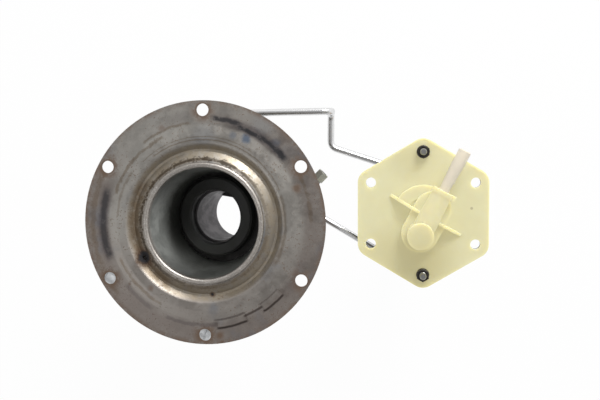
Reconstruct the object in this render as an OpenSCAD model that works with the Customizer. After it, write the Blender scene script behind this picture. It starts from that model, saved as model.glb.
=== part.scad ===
// Fuel tank sending unit: a pressed filler neck flange and a hexagonal sender head on one tank top.
// Origin at the centre of the flange's underside, +Z up along the neck, +X from the flange to the head.

/* [Flange] */
// Outside diameter of the round steel flange
flange_d = 130; // [128:0.5:134]
// Diameter of the circle through the flange's holes
flange_pcd = 120; // [118:0.5:121]
// Number of holes in the flange
flange_hole_count = 6; // [6:1:6]
// Diameter of the flange's holes, clear of an M6 bolt
flange_hole_d = 6.6; // [6.4:0.1:7]
// Thickness of the pressed steel sheet
sheet_t = 1.2; // [1:0.1:1.4]
// Radius of the middle of the spill trough
trough_r = 37.7; // [37.2:0.1:38.2]
// Depth of the trough's floor below the flange's face
trough_depth = 2.1; // [1.8:0.1:2.4]
// Diameter of the seam between flange and neck cup
seam_d = 65.2; // [64.6:0.2:65.6]
// Diameter of the drain hole in the trough
drain_d = 3; // [2.5:0.1:3.2]
// Direction of the drain hole about the neck
drain_heading = 209.7; // [205:0.5:214]

/* [Neck cup] */
// Clear diameter of the neck's mouth
mouth_d = 59.2; // [58.6:0.1:59.6]
// Height of the rolled lip's crown above the mounting plane
lip_height = 4; // [3.4:0.1:4.4]
// Inside diameter of the cup at the depth of cup_depth
cup_end_d = 48; // [47.5:0.1:49]
// Depth at which the cup's taper is given
cup_depth = 54; // [53:0.5:56]
// Depth of the slanted floor's centre below the mounting plane
floor_depth = 38.6; // [38:0.1:39]
// Tilt of the floor and spout from level
spout_tilt = 14; // [12:1:16]
// Compass direction in which the spout leans
spout_heading = 0; // [-5:1:5]

/* [Spout] */
// Inside diameter of the spout tube
spout_bore_d = 28.4; // [28:0.1:29]
// Length of the spout below the cup's floor
spout_length = 25.4; // [24:0.2:27]
// Outside diameter of the black sealing ring
ring_d = 45; // [44:0.5:46]
// Thickness of the sealing ring
ring_t = 6.2; // [5.5:0.1:6.5]

/* [Head] */
// Distance from the neck's axis to the head's centre along X
head_x = 115.1; // [114:0.1:117]
// Offset of the head's centre along Y
head_y = 6.1; // [5.1:0.1:7.1]
// Width of the hexagonal head across its flats
head_af = 66.6; // [66:0.1:67.2]
// Stretch of the hexagon along Y
head_stretch = 1.028; // [1.02:0.002:1.036]
// Radius of the hexagon's corners
head_corner_r = 7; // [6.5:0.1:7.5]
// Thickness of the head's plate
head_t = 3; // [2.6:0.2:3.6]
// Distance of the head's holes and studs from the hexagon's sharp corners
head_hole_inset = 7.78; // [7.6:0.02:8]
// Diameter of the head's four screw holes
head_hole_d = 5.2; // [5:0.1:5.5]
// Thickness of the gasket, and of the bracket plate let into it
gasket_t = 1.6; // [1.4:0.1:2]

/* [Elbow and outlet] */
// Diameter of the round riser on the head
riser_d = 13.1; // [12.5:0.1:13.7]
// Height of the riser's flat top above the head's plate
riser_height = 19; // [18:0.5:21]
// Place of the riser from the head's centre along X
riser_x = -1.7; // [-2.2:0.1:-1.2]
// Place of the riser from the head's centre along Y
riser_y = -10; // [-10.5:0.1:-9.5]
// Compass direction of the elbow's barrel
elbow_heading = 62.4; // [60:0.2:65]
// Length of the barrel from the riser's axis
barrel_length = 25; // [24:0.5:26]
// Outside diameter of the outlet tube's free end
outlet_d = 6.4; // [6.2:0.1:6.6]
// Length of the straight part at the outlet tube's free end
outlet_end = 9; // [8:0.5:10]
// Outside diameter of the outlet tube in the barrel
outlet_neck_d = 5.2; // [5:0.1:5.4]
// Length of the outlet tube inside the barrel
outlet_seat = 13; // [11:0.5:15]
// Inside diameter of the outlet tube
outlet_bore_d = 3.6; // [3.2:0.1:3.8]
// Distance from the riser's axis to the outlet tube's end
outlet_reach = 47.5; // [45:0.5:49]

/* [Sender] */
// Depth of the arm's pivot below the mounting plane
pivot_depth = 60; // [59:0.5:61]
// Radius at which the wiper meets the winding
card_r = 15.8; // [15.4:0.1:16]
// Lift of the float arm from empty to full
arm_travel = 28; // [24:1:34]
// Diameter of the pickup tube
dip_d = 8; // [7:0.5:8]
// Length of the pickup tube below the mounting plane
dip_length = 100; // [90:1:120]

/* [Arm and float] */
// Diameter of the float arm's wire
arm_d = 4; // [3.6:0.1:4.2]
// Inside radius at the arm's bends, to the wire's centre
arm_bend_r = 5; // [4.5:0.1:5]
// Diameter of the float
float_d = 20.4; // [19:0.2:21]
// Length of the float with its end caps
float_length = 72; // [68:1:73]
// Compass direction in which the float's axis points
float_heading = -30; // [-33:1:-27]

/* [Stay and breather] */
// Diameter of the straight stay rod
stay_d = 3.5; // [3.2:0.1:3.6]
// Depth of the stay rod below the mounting plane
stay_depth = 19; // [18.5:0.1:19.4]
// Compass direction of the stay rod
stay_heading = -30.5; // [-31:0.1:-30]
// Distance of the stay rod's line from the neck's axis
stay_offset = 32.7; // [32.4:0.1:33]
// Outside diameter of the breather pipe
vent_d = 5; // [4.6:0.1:5]
// Depth of the breather pipe below the mounting plane
vent_depth = 10.5; // [10.2:0.1:10.8]

/* [Hidden] */
$fn = 64;

// Clearances: a turning fit, a pushed-on fit, a clear hole and a small gap between seated pieces
run_gap = 0.06;
push_gap = 0.03;
clear_gap = 0.2;
seat_gap = 0.3;
// Length by which a cutter runs past a face
past = 1;
// A bend is drawn this much thinner than its straights, which reach this much into it
bend_step = 0.02;
bend_lap = 0.1;

// Flange and cup
seam_r = seam_d / 2;
half_sheet = sheet_t / 2;
fold_r = 0.85;
lip_drop = 1.4;
cup_mouth_r = mouth_d / 2 + half_sheet;
cup_end_r = cup_end_d / 2 + half_sheet;
floor_centre = [0.5, 0.7, -floor_depth];
spout_r = spout_bore_d / 2;
spout_outer_r = spout_r + sheet_t;
spout_collar_r = spout_outer_r + 4;
// Height of the spout's mouth above the cup's floor
spout_stand = 0.6;
// Stop tab at the spout's far end: its direction, the distance of its edge from the spout's axis,
// the place of its near side and its width
stop_heading = 82;
stop_edge = 8.6;
stop_side = 2.5;
stop_w = 9.4;

// Inner radius of the flange's flat seat
seat_r = 56.2;
step_r = 47;
// Welded skirts behind the marks on the flange: start angle and sweep of each
skirt_r = 54.6;
skirt_drop = 7;
skirt_headings = [[37, 44], [160, 41], [-83, 42]];
// Two shallow pads pressed up in the flange: start angle and sweep of each
pad_headings = [[-82.5, 16.5], [-54.5, 13]];
pad_r = 52.4;
pad_w = 4;
pad_height = 0.5;

// Drain pipe under the trough: its wall and length
nipple_wall = 1;
nipple_length = 11;

// Head levels, from the mounting plane up
head_pcd = 2 * (head_af / sqrt(3) - head_hole_inset);
stud_reach = head_pcd / 2 * head_stretch;
plate_top = gasket_t + head_t;
riser_top = plate_top + riser_height;
barrel_z = plate_top + 9.9;
stud_r = 1.75;
nut_af = 6;
nut_h = 2.8;
washer_r = 3.3;
washer_t = 0.6;
stud_tip = 4;
stud_head_h = 2.8;
stud_places = [90, -90];
// Stadium-shaped boss round the riser: its half width, its reach along the barrel and its height
boss_half = 9.3;
boss_reach = 14;
boss_h = 6;
// Raised crescent behind the barrel: inner radius and width from the head's centre, height, and the
// height of the lower step inside it
crescent_r = 8.3;
crescent_w = 6.5;
crescent_h = 3.6;
step_h = 2.4;
// Strip of the bracket that fills the gasket's opening: half widths at the middle, radius round the studs
strip_half = [12, 18];
strip_end_r = 4.4;
socket_r = 6.4;
socket_drop = 9;

// Sender below the head, in the part's own frame
pivot_x = head_x + 1.9;
pivot = [pivot_x, 0, -pivot_depth];
leg_y = head_y - 3.1;
leg_drop = 22;
case_y = leg_y + gasket_t;
case_depth = 9;
case_wall = 1.5;
case_half_w = 16;
case_down = 14;
case_up = 19.5;
cover_t = 1;
cover_y = case_y + case_depth;
bush_r = 4;
bush_reach = 2.8;
bush_flange_r = 6;
arm_r = arm_d / 2;
card_t = 1.2;
wire_t = 0.4;
wiper_rest = 90 - arm_travel / 2;
card_spare = 7;
card_span = [wiper_rest - card_spare, wiper_rest + arm_travel + card_spare];
winding_inset = 3;
winding_span = [card_span[0] + winding_inset, card_span[1] - winding_inset];
card_margin = 0.8;
post_sweep = 4;
wiper_y = case_y + 5.3;
screw_places = [[-12.7, 16.3], [12.7, 16.3], [-12.7, -10.7], [12.7, -10.7]];
rivet_places = [-7, 7];
rivet_z = -9.5;
tag_place = [3.8, 7];
dip_x = head_x + riser_x;
dip_y = head_y + riser_y;
dip_r = dip_d / 2;
clip_h = 7;
cage_h = 24;
cage_r = 9;
cage_wall = 1;
cage_base = 1.5;
cage_roof = 3;
cage_overlap = 5;
mesh_t = 0.4;

// Float and the arm's route, from the pivot out to the float
float_r = float_d / 2;
float_half = float_length / 2;
float_centre = [-33.1, -46.5, -35];
float_dir = [cos(float_heading), sin(float_heading), 0];
arm_route = [[pivot_x, leg_y - 1.8, -pivot_depth],
    [pivot_x, 22.3, -pivot_depth],
    [63.2, 39.8, -pivot_depth],
    [63.4, 60.4, -pivot_depth],
    [65.6, 60, -35],
    [9, 59.2, -35],
    float_centre - float_dir * (float_half + 10),
    float_centre + float_dir * (float_half + 5)];

// Breather pipe route and the stay rod's run along its own heading
vent_wall = 0.8;
vent_end = [61.4, 24.6, -vent_depth];
vent_lean = [cos(45), sin(45), 0];
vent_route = [[26, 3.9, -vent_depth], vent_end - vent_lean * 14, vent_end + vent_lean * 2.5];
low_stud = [head_x, head_y - stud_reach];
tab_back = 7.9;
stay_tab_s = stay_along(low_stud) - tab_back;
stay_tab_t = 1.5;
stay_nut_h = 2.4;
stay_tail = 6.2;
stay_run = [-13, stay_tab_s + stay_tail];
saddle_places = [-9, 3];

// Place of a point along the stay rod's heading, and its distance across
function stay_along(p) = p[0] * cos(stay_heading) + p[1] * sin(stay_heading);
function stay_across(p) = p[1] * cos(stay_heading) - p[0] * sin(stay_heading);

// Unit vector along v
function unit(v) = v / norm(v);

// Points of the arc of radius r that rounds the corner p1 between p0 and p2
function corner_arc(p0, p1, p2, r, steps = 6) =
    let (a = unit(p0 - p1), b = unit(p2 - p1))
    let (half = acos(a * b) / 2)
    let (centre = p1 + unit(a + b) * r / sin(half))
    let (first = p1 + a * r / tan(half) - centre, last = p1 + b * r / tan(half) - centre)
    let (start = atan2(first[1], first[0]))
    let (sweep = ((atan2(last[1], last[0]) - start + 540) % 360) - 180)
    [for (i = [0:steps]) centre + r * [cos(start + sweep * i / steps), sin(start + sweep * i / steps)]];

// Path p with its inner corners rounded to the radii in r
function rounded(p, r) = concat([p[0]],
    [for (i = [1:len(p) - 2]) each corner_arc(p[i - 1], p[i], p[i + 1], r[i - 1])],
    [p[len(p) - 1]]);

// Points beside path p at distance d
function beside(p, d) = [for (i = [0:len(p) - 1])
    let (t = unit(p[min(i + 1, len(p) - 1)] - p[max(i - 1, 0)]))
    p[i] + d * [-t[1], t[0]]];

// Closed outline of a sheet of thickness t along path p
function sheet_outline(p, t) =
    let (front = beside(p, t / 2), back = beside(p, -t / 2))
    concat(front, [for (i = [len(back) - 1:-1:0]) back[i]]);

// Middle of the cup's wall at height z
function cup_wall_r(z) = cup_mouth_r + (cup_end_r - cup_mouth_r) * -z / cup_depth;

// Turning angle of route p at point i
function turn_at(p, i) = acos(unit(p[i] - p[i - 1]) * unit(p[i + 1] - p[i]));

// Length that the bend at point i takes from each neighbouring straight of route p
function bend_trim(p, i, bend_r) = (i == 0 || i == len(p) - 1) ? 0 : bend_r * tan(turn_at(p, i) / 2);

// Rotation angles of the frame with axes u, v and u cross v
function frame_angles(u, v) =
    let (w = cross(u, v))
    abs(u[2]) > 0.99999 ? [0, u[2] < 0 ? 90 : -90, atan2(-v[0], v[1])]
        : [atan2(v[2], w[2]), asin(-u[2]), atan2(u[1], u[0])];

// Outline of the head's hexagon, which points along Y, with rounded corners
function hexagon(af, corner_r) =
    let (tips = [for (k = [0:5]) af / sqrt(3) * [cos(60 * k + 30), sin(60 * k + 30) * head_stretch]])
    [for (k = [0:5]) each corner_arc(tips[(k + 5) % 6], tips[k], tips[(k + 1) % 6], corner_r, 10)];

// Stands children along direction d from the origin
module aim(d) {
    rotate([0, acos(unit(d)[2]), atan2(d[1], d[0])]) children();
}

// Round bar of radius r along route p with bends of radius bend_r
module bar(p, r, bend_r) {
    last = len(p) - 1;
    for (i = [0:last - 1]) {
        along = unit(p[i + 1] - p[i]);
        from_start = bend_trim(p, i, bend_r);
        from_end = bend_trim(p, i + 1, bend_r);
        lap_start = i == 0 ? 0 : bend_lap;
        lap_end = i == last - 1 ? 0 : bend_lap;
        translate(p[i] + along * (from_start - lap_start))
            aim(along)
                cylinder(r = r, h = norm(p[i + 1] - p[i]) - from_start - from_end + lap_start + lap_end);
    }
    for (i = [1:last - 1]) {
        along = unit(p[i] - p[i - 1]);
        onward = unit(p[i + 1] - p[i]);
        inward = unit(onward - (onward * along) * along);
        translate(p[i] - along * bend_trim(p, i, bend_r) + inward * bend_r)
            rotate(frame_angles(-inward, along))
                rotate_extrude(angle = turn_at(p, i))
                    translate([bend_r, 0])
                        circle(r = r - bend_step);
    }
}

// Hexagonal slab with rounded corners
module hex_slab(af, corner_r, h) {
    linear_extrude(h) polygon(hexagon(af, corner_r));
}

// Six-sided nut shape
module hex_nut(af, h, bore_r) {
    difference() {
        cylinder(d = af / cos(30), h = h, $fn = 6);
        translate([0, 0, -past]) cylinder(r = bore_r, h = h + 2 * past);
    }
}

// Flat ring or tube between two radii
module ring(outer_r, inner_r, h) {
    difference() {
        cylinder(r = outer_r, h = h);
        translate([0, 0, -past]) cylinder(r = inner_r, h = h + 2 * past);
    }
}

// Ring segment about Z between radii r and r + w
module curved_bar(r, w, h, start, sweep) {
    rotate([0, 0, start])
        rotate_extrude(angle = sweep)
            translate([r, 0])
                square([w, h]);
}

// Frame of the slanted floor, with its local +Z up the spout
module on_floor() {
    translate(floor_centre)
        rotate([0, 0, spout_heading])
            rotate([0, -spout_tilt, 0])
                children();
}

// Frame of the head's centre on the mounting plane
module at_head() {
    translate([head_x, head_y, 0]) children();
}

// Frame of the pivot, with its local +Z along the part's +Y and local +X kept
module at_pivot(y) {
    translate([pivot_x, y, -pivot_depth])
        rotate([90, 0, 0])
            mirror([0, 0, 1])
                children();
}

// Frame along the stay rod: local X along the rod, local Y out from the neck
module along_stay(s) {
    rotate([0, 0, stay_heading])
        translate([s, stay_offset, -stay_depth])
            children();
}

// Solid cone that the cup's wall encloses; grow is 1 for its outer face and -1 for its inner face
module cup_cone(grow) {
    top_r = cup_wall_r(0) + grow * half_sheet;
    end_r = cup_wall_r(-cup_depth) + grow * half_sheet;
    translate([0, 0, -cup_depth]) cylinder(r1 = end_r, r2 = top_r, h = cup_depth);
}

// Pressed flange with trough, inner riser to the seam and six holes
module filler_flange() {
    trough_mid_z = sheet_t / 2 - trough_depth;
    path = rounded([[flange_d / 2, half_sheet], [seat_r, half_sheet], [pad_r - 0.2, 0.7], [step_r, 1.3],
        [trough_r + 5.2, 1.2], [trough_r + 2, trough_mid_z], [trough_r + 0.4, trough_mid_z],
        [seam_r + 1.5, 1.3], [seam_r - half_sheet, 2]], [10, 8, 8, 2.4, 1, 1, 1.2]);
    color("darkgray")
        difference() {
            union() {
                rotate_extrude($fn = 128) polygon(sheet_outline(path, sheet_t));
                for (pad = pad_headings)
                    translate([0, 0, half_sheet])
                        curved_bar(pad_r, pad_w, half_sheet + pad_height, pad[0], pad[1]);
            }
            for (k = [0:flange_hole_count - 1])
                rotate([0, 0, 360 / flange_hole_count * k + 30])
                    translate([flange_pcd / 2, 0, -past])
                        cylinder(d = flange_hole_d, h = sheet_t + 2 * past);
            rotate([0, 0, drain_heading])
                translate([trough_r, 0, -trough_depth - past])
                    cylinder(d = drain_d, h = trough_depth + 2 * past);
            translate([0, 0, -past]) cylinder(r = seam_r, h = lip_height + 2 * past, $fn = 128);
        }
}

// Neck cup: rolled lip and tapering wall down to the slanted floor
module neck_cup() {
    lip = rounded([[seam_r - half_sheet, -lip_drop], [seam_r - half_sheet, lip_height - half_sheet],
        [cup_mouth_r, lip_height - half_sheet], [cup_mouth_r, 0], [cup_end_r, -cup_depth]],
        [fold_r, fold_r, 20]);
    color("gray")
        difference() {
            rotate_extrude($fn = 128) polygon(sheet_outline(lip, sheet_t));
            on_floor() translate([-60, -60, -120]) cube([120, 120, 120]);
            bar(vent_route, vent_d / 2, 12);
        }
}

// Slanted floor of the cup with the spout's hole
module cup_floor() {
    color("gray")
        difference() {
            intersection() {
                cup_cone(1);
                on_floor() translate([-60, -60, -sheet_t]) cube([120, 120, sheet_t]);
            }
            on_floor()
                translate([0, 0, -past - sheet_t])
                    cylinder(r = spout_outer_r, h = sheet_t + 2 * past);
        }
}

// Spout tube with its collar under the floor and a stop across part of its far end
module spout_tube() {
    tube_h = spout_length + spout_stand;
    color("dimgray")
        on_floor() {
            difference() {
                union() {
                    translate([0, 0, -spout_length]) cylinder(r = spout_outer_r, h = tube_h);
                    translate([0, 0, -2 * sheet_t]) cylinder(r = spout_collar_r, h = sheet_t);
                }
                translate([0, 0, -spout_length - past]) cylinder(r = spout_r, h = tube_h + 2 * past);
            }
            translate([0, 0, -spout_length])
                intersection() {
                    cylinder(r = spout_r + half_sheet, h = sheet_t);
                    rotate([0, 0, stop_heading])
                        translate([stop_edge, stop_side, -past])
                            cube([spout_r, stop_w, sheet_t + 2 * past]);
                }
        }
}

// Black sealing ring lying on the cup's floor round the spout
module spout_ring() {
    outer_r = ring_d / 2;
    bevel = 1;
    color([0.08, 0.08, 0.08])
        on_floor()
            rotate_extrude()
                polygon([[spout_outer_r, 0], [outer_r, 0], [outer_r, ring_t - bevel],
                    [outer_r - bevel, ring_t], [spout_outer_r + bevel, ring_t],
                    [spout_outer_r, ring_t - bevel]]);
}

// Curved skirt welded under the flange, which centres it in the tank's opening
module locator_tab(k) {
    color("slategray")
        translate([0, 0, -skirt_drop])
            curved_bar(skirt_r, sheet_t, skirt_drop, skirt_headings[k][0], skirt_headings[k][1]);
}

// Short pipe under the trough's drain hole
module drain_nipple() {
    color("slategray")
        rotate([0, 0, drain_heading])
            translate([trough_r, 0, -trough_depth - nipple_length])
                ring(drain_d / 2 + nipple_wall, drain_d / 2, nipple_length);
}

// Breather pipe from the cup's wall out past the flange's rim
module vent_pipe() {
    color("slategray")
        difference() {
            bar(vent_route, vent_d / 2, 12);
            bar([vent_route[0] - [past, 0.4, 0], vent_route[1], vent_route[2] + vent_lean],
                vent_d / 2 - vent_wall, 12);
            cup_cone(-1);
        }
}

// Hex nut on the breather pipe's end
module vent_nut() {
    color("darkkhaki")
        translate(vent_end - vent_lean * 2.5)
            aim(vent_lean)
                hex_nut(nut_af, 5, vent_d / 2);
}

// Saddle block welded to the cup's wall, with a hole for the stay rod
module stay_saddle(k) {
    color("gray")
        difference() {
            along_stay(saddle_places[k]) translate([-3, -7, -4]) cube([6, 10.5, 8]);
            along_stay(saddle_places[k] - 5) rotate([0, 90, 0]) cylinder(r = stay_d / 2 + push_gap, h = 10);
            cup_cone(1);
        }
}

// Straight stay rod that ties the neck to the head's bracket
module stay_rod() {
    color("silver")
        along_stay(stay_run[0])
            rotate([0, 90, 0])
                cylinder(d = stay_d, h = stay_run[1] - stay_run[0]);
}

// Folded tab under the head's lower stud, whose leaf reaches out to the stay rod's end
module stay_tab() {
    stud = [stay_along(low_stud) - stay_tab_s, stay_across(low_stud) - stay_offset];
    fold = [stud[1] + 0.4, stud[1] + 8.4];
    eye = [for (turn = [-115:19:75]) stud + (strip_end_r - clear_gap) * [cos(turn), sin(turn)]];
    color("lightgray")
        difference() {
            along_stay(stay_tab_s) {
                rotate([90, 0, 90])
                    linear_extrude(stay_tab_t)
                        polygon([[-3.7, -6], [fold[0] + 2, -6], [fold[1], 4], [fold[1], stay_depth],
                            [fold[0], stay_depth], [fold[0], 6], [-3.7, 4]]);
                translate([0, 0, stay_depth - sheet_t])
                    linear_extrude(sheet_t)
                        polygon(concat([[0, fold[0]]], eye, [[0, fold[1]]]));
            }
            along_stay(stay_tab_s - past)
                rotate([0, 90, 0])
                    cylinder(r = stay_d / 2 + clear_gap, h = stay_tab_t + 2 * past);
            translate([low_stud[0], low_stud[1], -sheet_t - past])
                cylinder(r = stud_r + clear_gap, h = sheet_t + 2 * past);
        }
}

// Nut on the stay rod, one on each side of the tab
module stay_nut(k) {
    color("silver")
        along_stay(stay_tab_s + (k == 0 ? -stay_nut_h : stay_tab_t))
            rotate([0, 90, 0])
                hex_nut(6, stay_nut_h, stay_d / 2 + push_gap);
}

// Outline of the bracket's strip, grown by gap all round
module strip_shape(gap) {
    wide = strip_half + [gap, gap];
    end_r = strip_end_r + gap;
    tip = [for (turn = [0:15:180]) [end_r * cos(turn), stud_reach + end_r * sin(turn)]];
    polygon(concat([[wide[0], -wide[1]], wide], tip, [[-wide[0], wide[1]], -wide], [for (p = tip) -p]));
}

// Four screw holes through the head's thickness
module head_holes(h) {
    place = head_pcd / 2 * [cos(30), sin(30) * head_stretch];
    for (x = [-place[0], place[0]], y = [-place[1], place[1]])
        translate([x, y, -past]) cylinder(d = head_hole_d, h = h + 2 * past);
}

// Gasket under the head, open for the bracket's strip
module head_gasket() {
    color([0.15, 0.15, 0.15])
        at_head()
            difference() {
                hex_slab(head_af - 1, head_corner_r - 0.5, gasket_t);
                translate([0, 0, -past]) linear_extrude(gasket_t + 2 * past) strip_shape(seat_gap);
                head_holes(gasket_t);
            }
}

// Outline of the boss: two half circles joined by straight sides, pointing along X
function boss_outline() = concat(
    [for (turn = [90:10:270]) boss_half * [cos(turn), sin(turn)]],
    [for (turn = [-90:10:90]) [boss_reach, 0] + boss_half * [cos(turn), sin(turn)]]);

// Upright gusset from radius near to radius far on the head
module gusset(heading, near, high_r, far) {
    rotate([0, 0, heading])
        translate([0, 0.7, plate_top])
            rotate([90, 0, 0])
                linear_extrude(1.4)
                    polygon([[near, -0.5], [far, -0.5], [far, 0.8], [high_r, 8.4], [near, 8.4]]);
}

// Hexagonal head moulding: plate, socket, riser, elbow barrel, gussets and raised crescent
module head_plate() {
    color([0.91, 0.88, 0.72])
        at_head()
            difference() {
                union() {
                    translate([0, 0, gasket_t]) hex_slab(head_af, head_corner_r, head_t);
                    gusset(150, 2, 8, 19);
                    gusset(-30, 3, 12.5, 22);
                    translate([0, 0, plate_top - 0.5])
                        curved_bar(crescent_r, crescent_w, crescent_h + 0.5, 66, 84);
                    translate([0, 0, plate_top - 0.5])
                        curved_bar(crescent_r / 2, crescent_r / 2 + 0.3, step_h + 0.5, 60, 90);
                    translate([riser_x, riser_y, 0]) {
                        translate([0, 0, -socket_drop])
                            cylinder(r = socket_r, h = socket_drop + gasket_t + 1);
                        translate([0, 0, plate_top - 0.5]) cylinder(d = riser_d, h = riser_height + 0.5);
                        rotate([0, 0, elbow_heading]) {
                            translate([0, 0, plate_top - 0.5])
                                linear_extrude(boss_h + 0.5) polygon(boss_outline());
                            translate([0, 0, barrel_z])
                                rotate([0, 90, 0])
                                    cylinder(r1 = 5.9, r2 = 5, h = barrel_length);
                            translate([barrel_length - 2.4, 0, barrel_z])
                                rotate([0, 90, 0])
                                    cylinder(r = 5.6, h = 2.4);
                            translate([barrel_length - 2.4, -7, barrel_z - 1.5]) cube([2.4, 4, 3]);
                        }
                    }
                }
                head_holes(gasket_t + head_t);
                for (side = stud_places)
                    rotate([0, 0, side])
                        translate([stud_reach, 0, 0])
                            cylinder(r = stud_r + clear_gap, h = plate_top + past);
                translate([riser_x, riser_y, 0]) {
                    translate([0, 0, -socket_drop - past])
                        cylinder(r = dip_r + push_gap, h = socket_drop + past);
                    translate([0, 0, -0.5]) cylinder(r = dip_r - 1, h = barrel_z + 3.5);
                    rotate([0, 0, elbow_heading])
                        translate([0, 0, barrel_z])
                            rotate([0, 90, 0])
                                cylinder(r = outlet_bore_d / 2, h = barrel_length + past);
                    rotate([0, 0, elbow_heading])
                        translate([barrel_length - outlet_seat, 0, barrel_z])
                            rotate([0, 90, 0])
                                cylinder(r = outlet_neck_d / 2 + push_gap, h = outlet_seat + past);
                }
            }
}

// Translucent outlet tube pushed into the barrel, wider at its free end
module outlet_tube() {
    end_r = outlet_d / 2;
    neck_r = outlet_neck_d / 2;
    bore_r = outlet_bore_d / 2;
    bevel = 0.5;
    start = barrel_length - outlet_seat;
    color([0.95, 0.9, 0.86, 0.8])
        at_head()
            translate([riser_x, riser_y, barrel_z])
                rotate([0, 0, elbow_heading])
                    rotate([0, 90, 0])
                        rotate_extrude()
                            polygon([[bore_r, start], [neck_r, start], [neck_r, barrel_length + 1],
                                [end_r, outlet_reach - outlet_end], [end_r, outlet_reach - bevel],
                                [end_r - bevel, outlet_reach], [bore_r, outlet_reach]]);
}

// Frame of the head's stud k
module at_stud(k) {
    at_head() rotate([0, 0, stud_places[k]]) translate([stud_reach, 0, 0]) children();
}

// Stud with its hex head under the bracket, or under the stay tab
module stud(k) {
    seat = k == 1 ? -sheet_t : 0;
    color("dimgray")
        at_stud(k) {
            translate([0, 0, seat]) cylinder(r = stud_r, h = plate_top + washer_t + nut_h + stud_tip - seat);
            translate([0, 0, seat - stud_head_h]) cylinder(d = nut_af / cos(30), h = stud_head_h, $fn = 6);
        }
}

// Hex nut on a stud
module stud_nut(k) {
    color([0.25, 0.25, 0.25])
        at_stud(k) translate([0, 0, plate_top + washer_t]) hex_nut(nut_af, nut_h, stud_r + push_gap);
}

// Washer under a stud's nut
module stud_washer(k) {
    color("gray")
        at_stud(k) translate([0, 0, plate_top]) ring(washer_r, stud_r + clear_gap, washer_t);
}

// Bracket: strip let into the gasket, and the leg that carries the rheostat
module sender_bracket() {
    leg_end = pivot_depth + leg_drop;
    color("lightgray")
        difference() {
            union() {
                at_head() linear_extrude(gasket_t) strip_shape(0);
                translate([head_x - strip_half[0], leg_y, -leg_end])
                    cube([2 * strip_half[0], gasket_t, leg_end + gasket_t]);
            }
            translate([dip_x, dip_y, -past]) cylinder(r = socket_r + clear_gap, h = gasket_t + 2 * past);
            for (k = [0, 1])
                at_stud(k)
                    translate([0, 0, -past])
                        cylinder(r = stud_r + clear_gap, h = gasket_t + 2 * past);
            at_pivot(leg_y - past) cylinder(r = arm_r + run_gap, h = gasket_t + 2 * past);
            for (x = rivet_places)
                at_pivot(leg_y - past)
                    translate([x, rivet_z, 0])
                        cylinder(r = 1.6 + push_gap, h = gasket_t + 2 * past);
        }
}

// Open case of the rheostat with screw posts and the card's end posts
module rheostat_case() {
    inner_half = case_half_w - case_wall;
    inner_h = case_down + case_up - 2 * case_wall;
    color([0.2, 0.2, 0.2])
        difference() {
            union() {
                difference() {
                    at_pivot(case_y)
                        translate([-case_half_w, -case_down, 0])
                            cube([2 * case_half_w, case_down + case_up, case_depth]);
                    at_pivot(case_y + case_wall)
                        translate([-inner_half, -case_down + case_wall, 0])
                            cube([2 * inner_half, inner_h, case_depth]);
                }
                for (place = screw_places)
                    at_pivot(case_y + 0.5) translate(place) cylinder(r = 2.2, h = case_depth - 0.5);
                for (start = [card_span[0] - post_sweep, card_span[1]])
                    at_pivot(case_y + 0.5)
                        curved_bar(card_r - 1.8, card_t + wire_t + 2.2, case_depth - 1.5, start, post_sweep);
            }
            at_pivot(case_y - past) cylinder(r = arm_r + 0.6, h = case_wall + 2 * past);
            for (place = screw_places)
                at_pivot(case_y + 2.5) translate(place) cylinder(r = 1.2 + push_gap, h = case_depth);
            for (x = rivet_places)
                at_pivot(case_y - past)
                    translate([x, rivet_z, 0])
                        cylinder(r = 1.6 + push_gap, h = case_wall + 2 * past);
        }
}

// Flat cover of the case with the bush's hole
module case_cover() {
    color([0.78, 0.72, 0.5])
        at_pivot(cover_y)
            difference() {
                translate([-case_half_w, -case_down, 0])
                    cube([2 * case_half_w, case_down + case_up, cover_t]);
                translate([0, 0, -past]) cylinder(r = bush_r + push_gap, h = cover_t + 2 * past);
                for (place = screw_places)
                    translate([place[0], place[1], -past])
                        cylinder(r = 1.2 + clear_gap, h = cover_t + 2 * past);
            }
}

// Pan head screw at a corner of the cover
module cover_screw(k) {
    color("silver")
        at_pivot(cover_y - 5)
            translate(screw_places[k]) {
                cylinder(r = 1.2, h = 5 + cover_t);
                translate([0, 0, 5 + cover_t]) cylinder(r = 2.2, h = 1.2);
            }
}

// Rivet that joins the case to the bracket's leg
module case_rivet(k) {
    grip = gasket_t + case_wall;
    color("silver")
        at_pivot(leg_y)
            translate([rivet_places[k], rivet_z, 0]) {
                translate([0, 0, -1]) cylinder(r = 2.8, h = 1);
                cylinder(r = 1.6, h = grip);
                translate([0, 0, grip]) cylinder(r = 2.6, h = 0.9);
            }
}

// Brass bush in the cover, in which the arm's shaft turns
module pivot_bush() {
    color("goldenrod")
        at_pivot(cover_y)
            difference() {
                union() {
                    translate([0, 0, -0.8]) cylinder(r = bush_r, h = cover_t + bush_reach + 0.8);
                    translate([0, 0, cover_t]) cylinder(r = bush_flange_r, h = 1);
                }
                translate([0, 0, -past - 0.8])
                    cylinder(r = arm_r + run_gap, h = cover_t + bush_reach + 0.8 + 2 * past);
            }
}

// Curved card that carries the winding
module resistor_card() {
    color("saddlebrown")
        at_pivot(case_y + case_wall + card_margin)
            curved_bar(card_r + wire_t, card_t, case_depth - case_wall - 2 * card_margin, card_span[0],
                card_span[1] - card_span[0]);
}

// Wire winding round the card, drawn as one sleeve
module resistor_winding() {
    inner_h = case_depth - case_wall - 2 * card_margin;
    sweep = winding_span[1] - winding_span[0];
    color("peru")
        at_pivot(case_y + case_wall + card_margin)
            rotate([0, 0, winding_span[0]])
                rotate_extrude(angle = sweep)
                    difference() {
                        translate([card_r, -wire_t]) square([card_t + 2 * wire_t, inner_h + 2 * wire_t]);
                        translate([card_r + wire_t, 0]) square([card_t, inner_h]);
                    }
}

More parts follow.
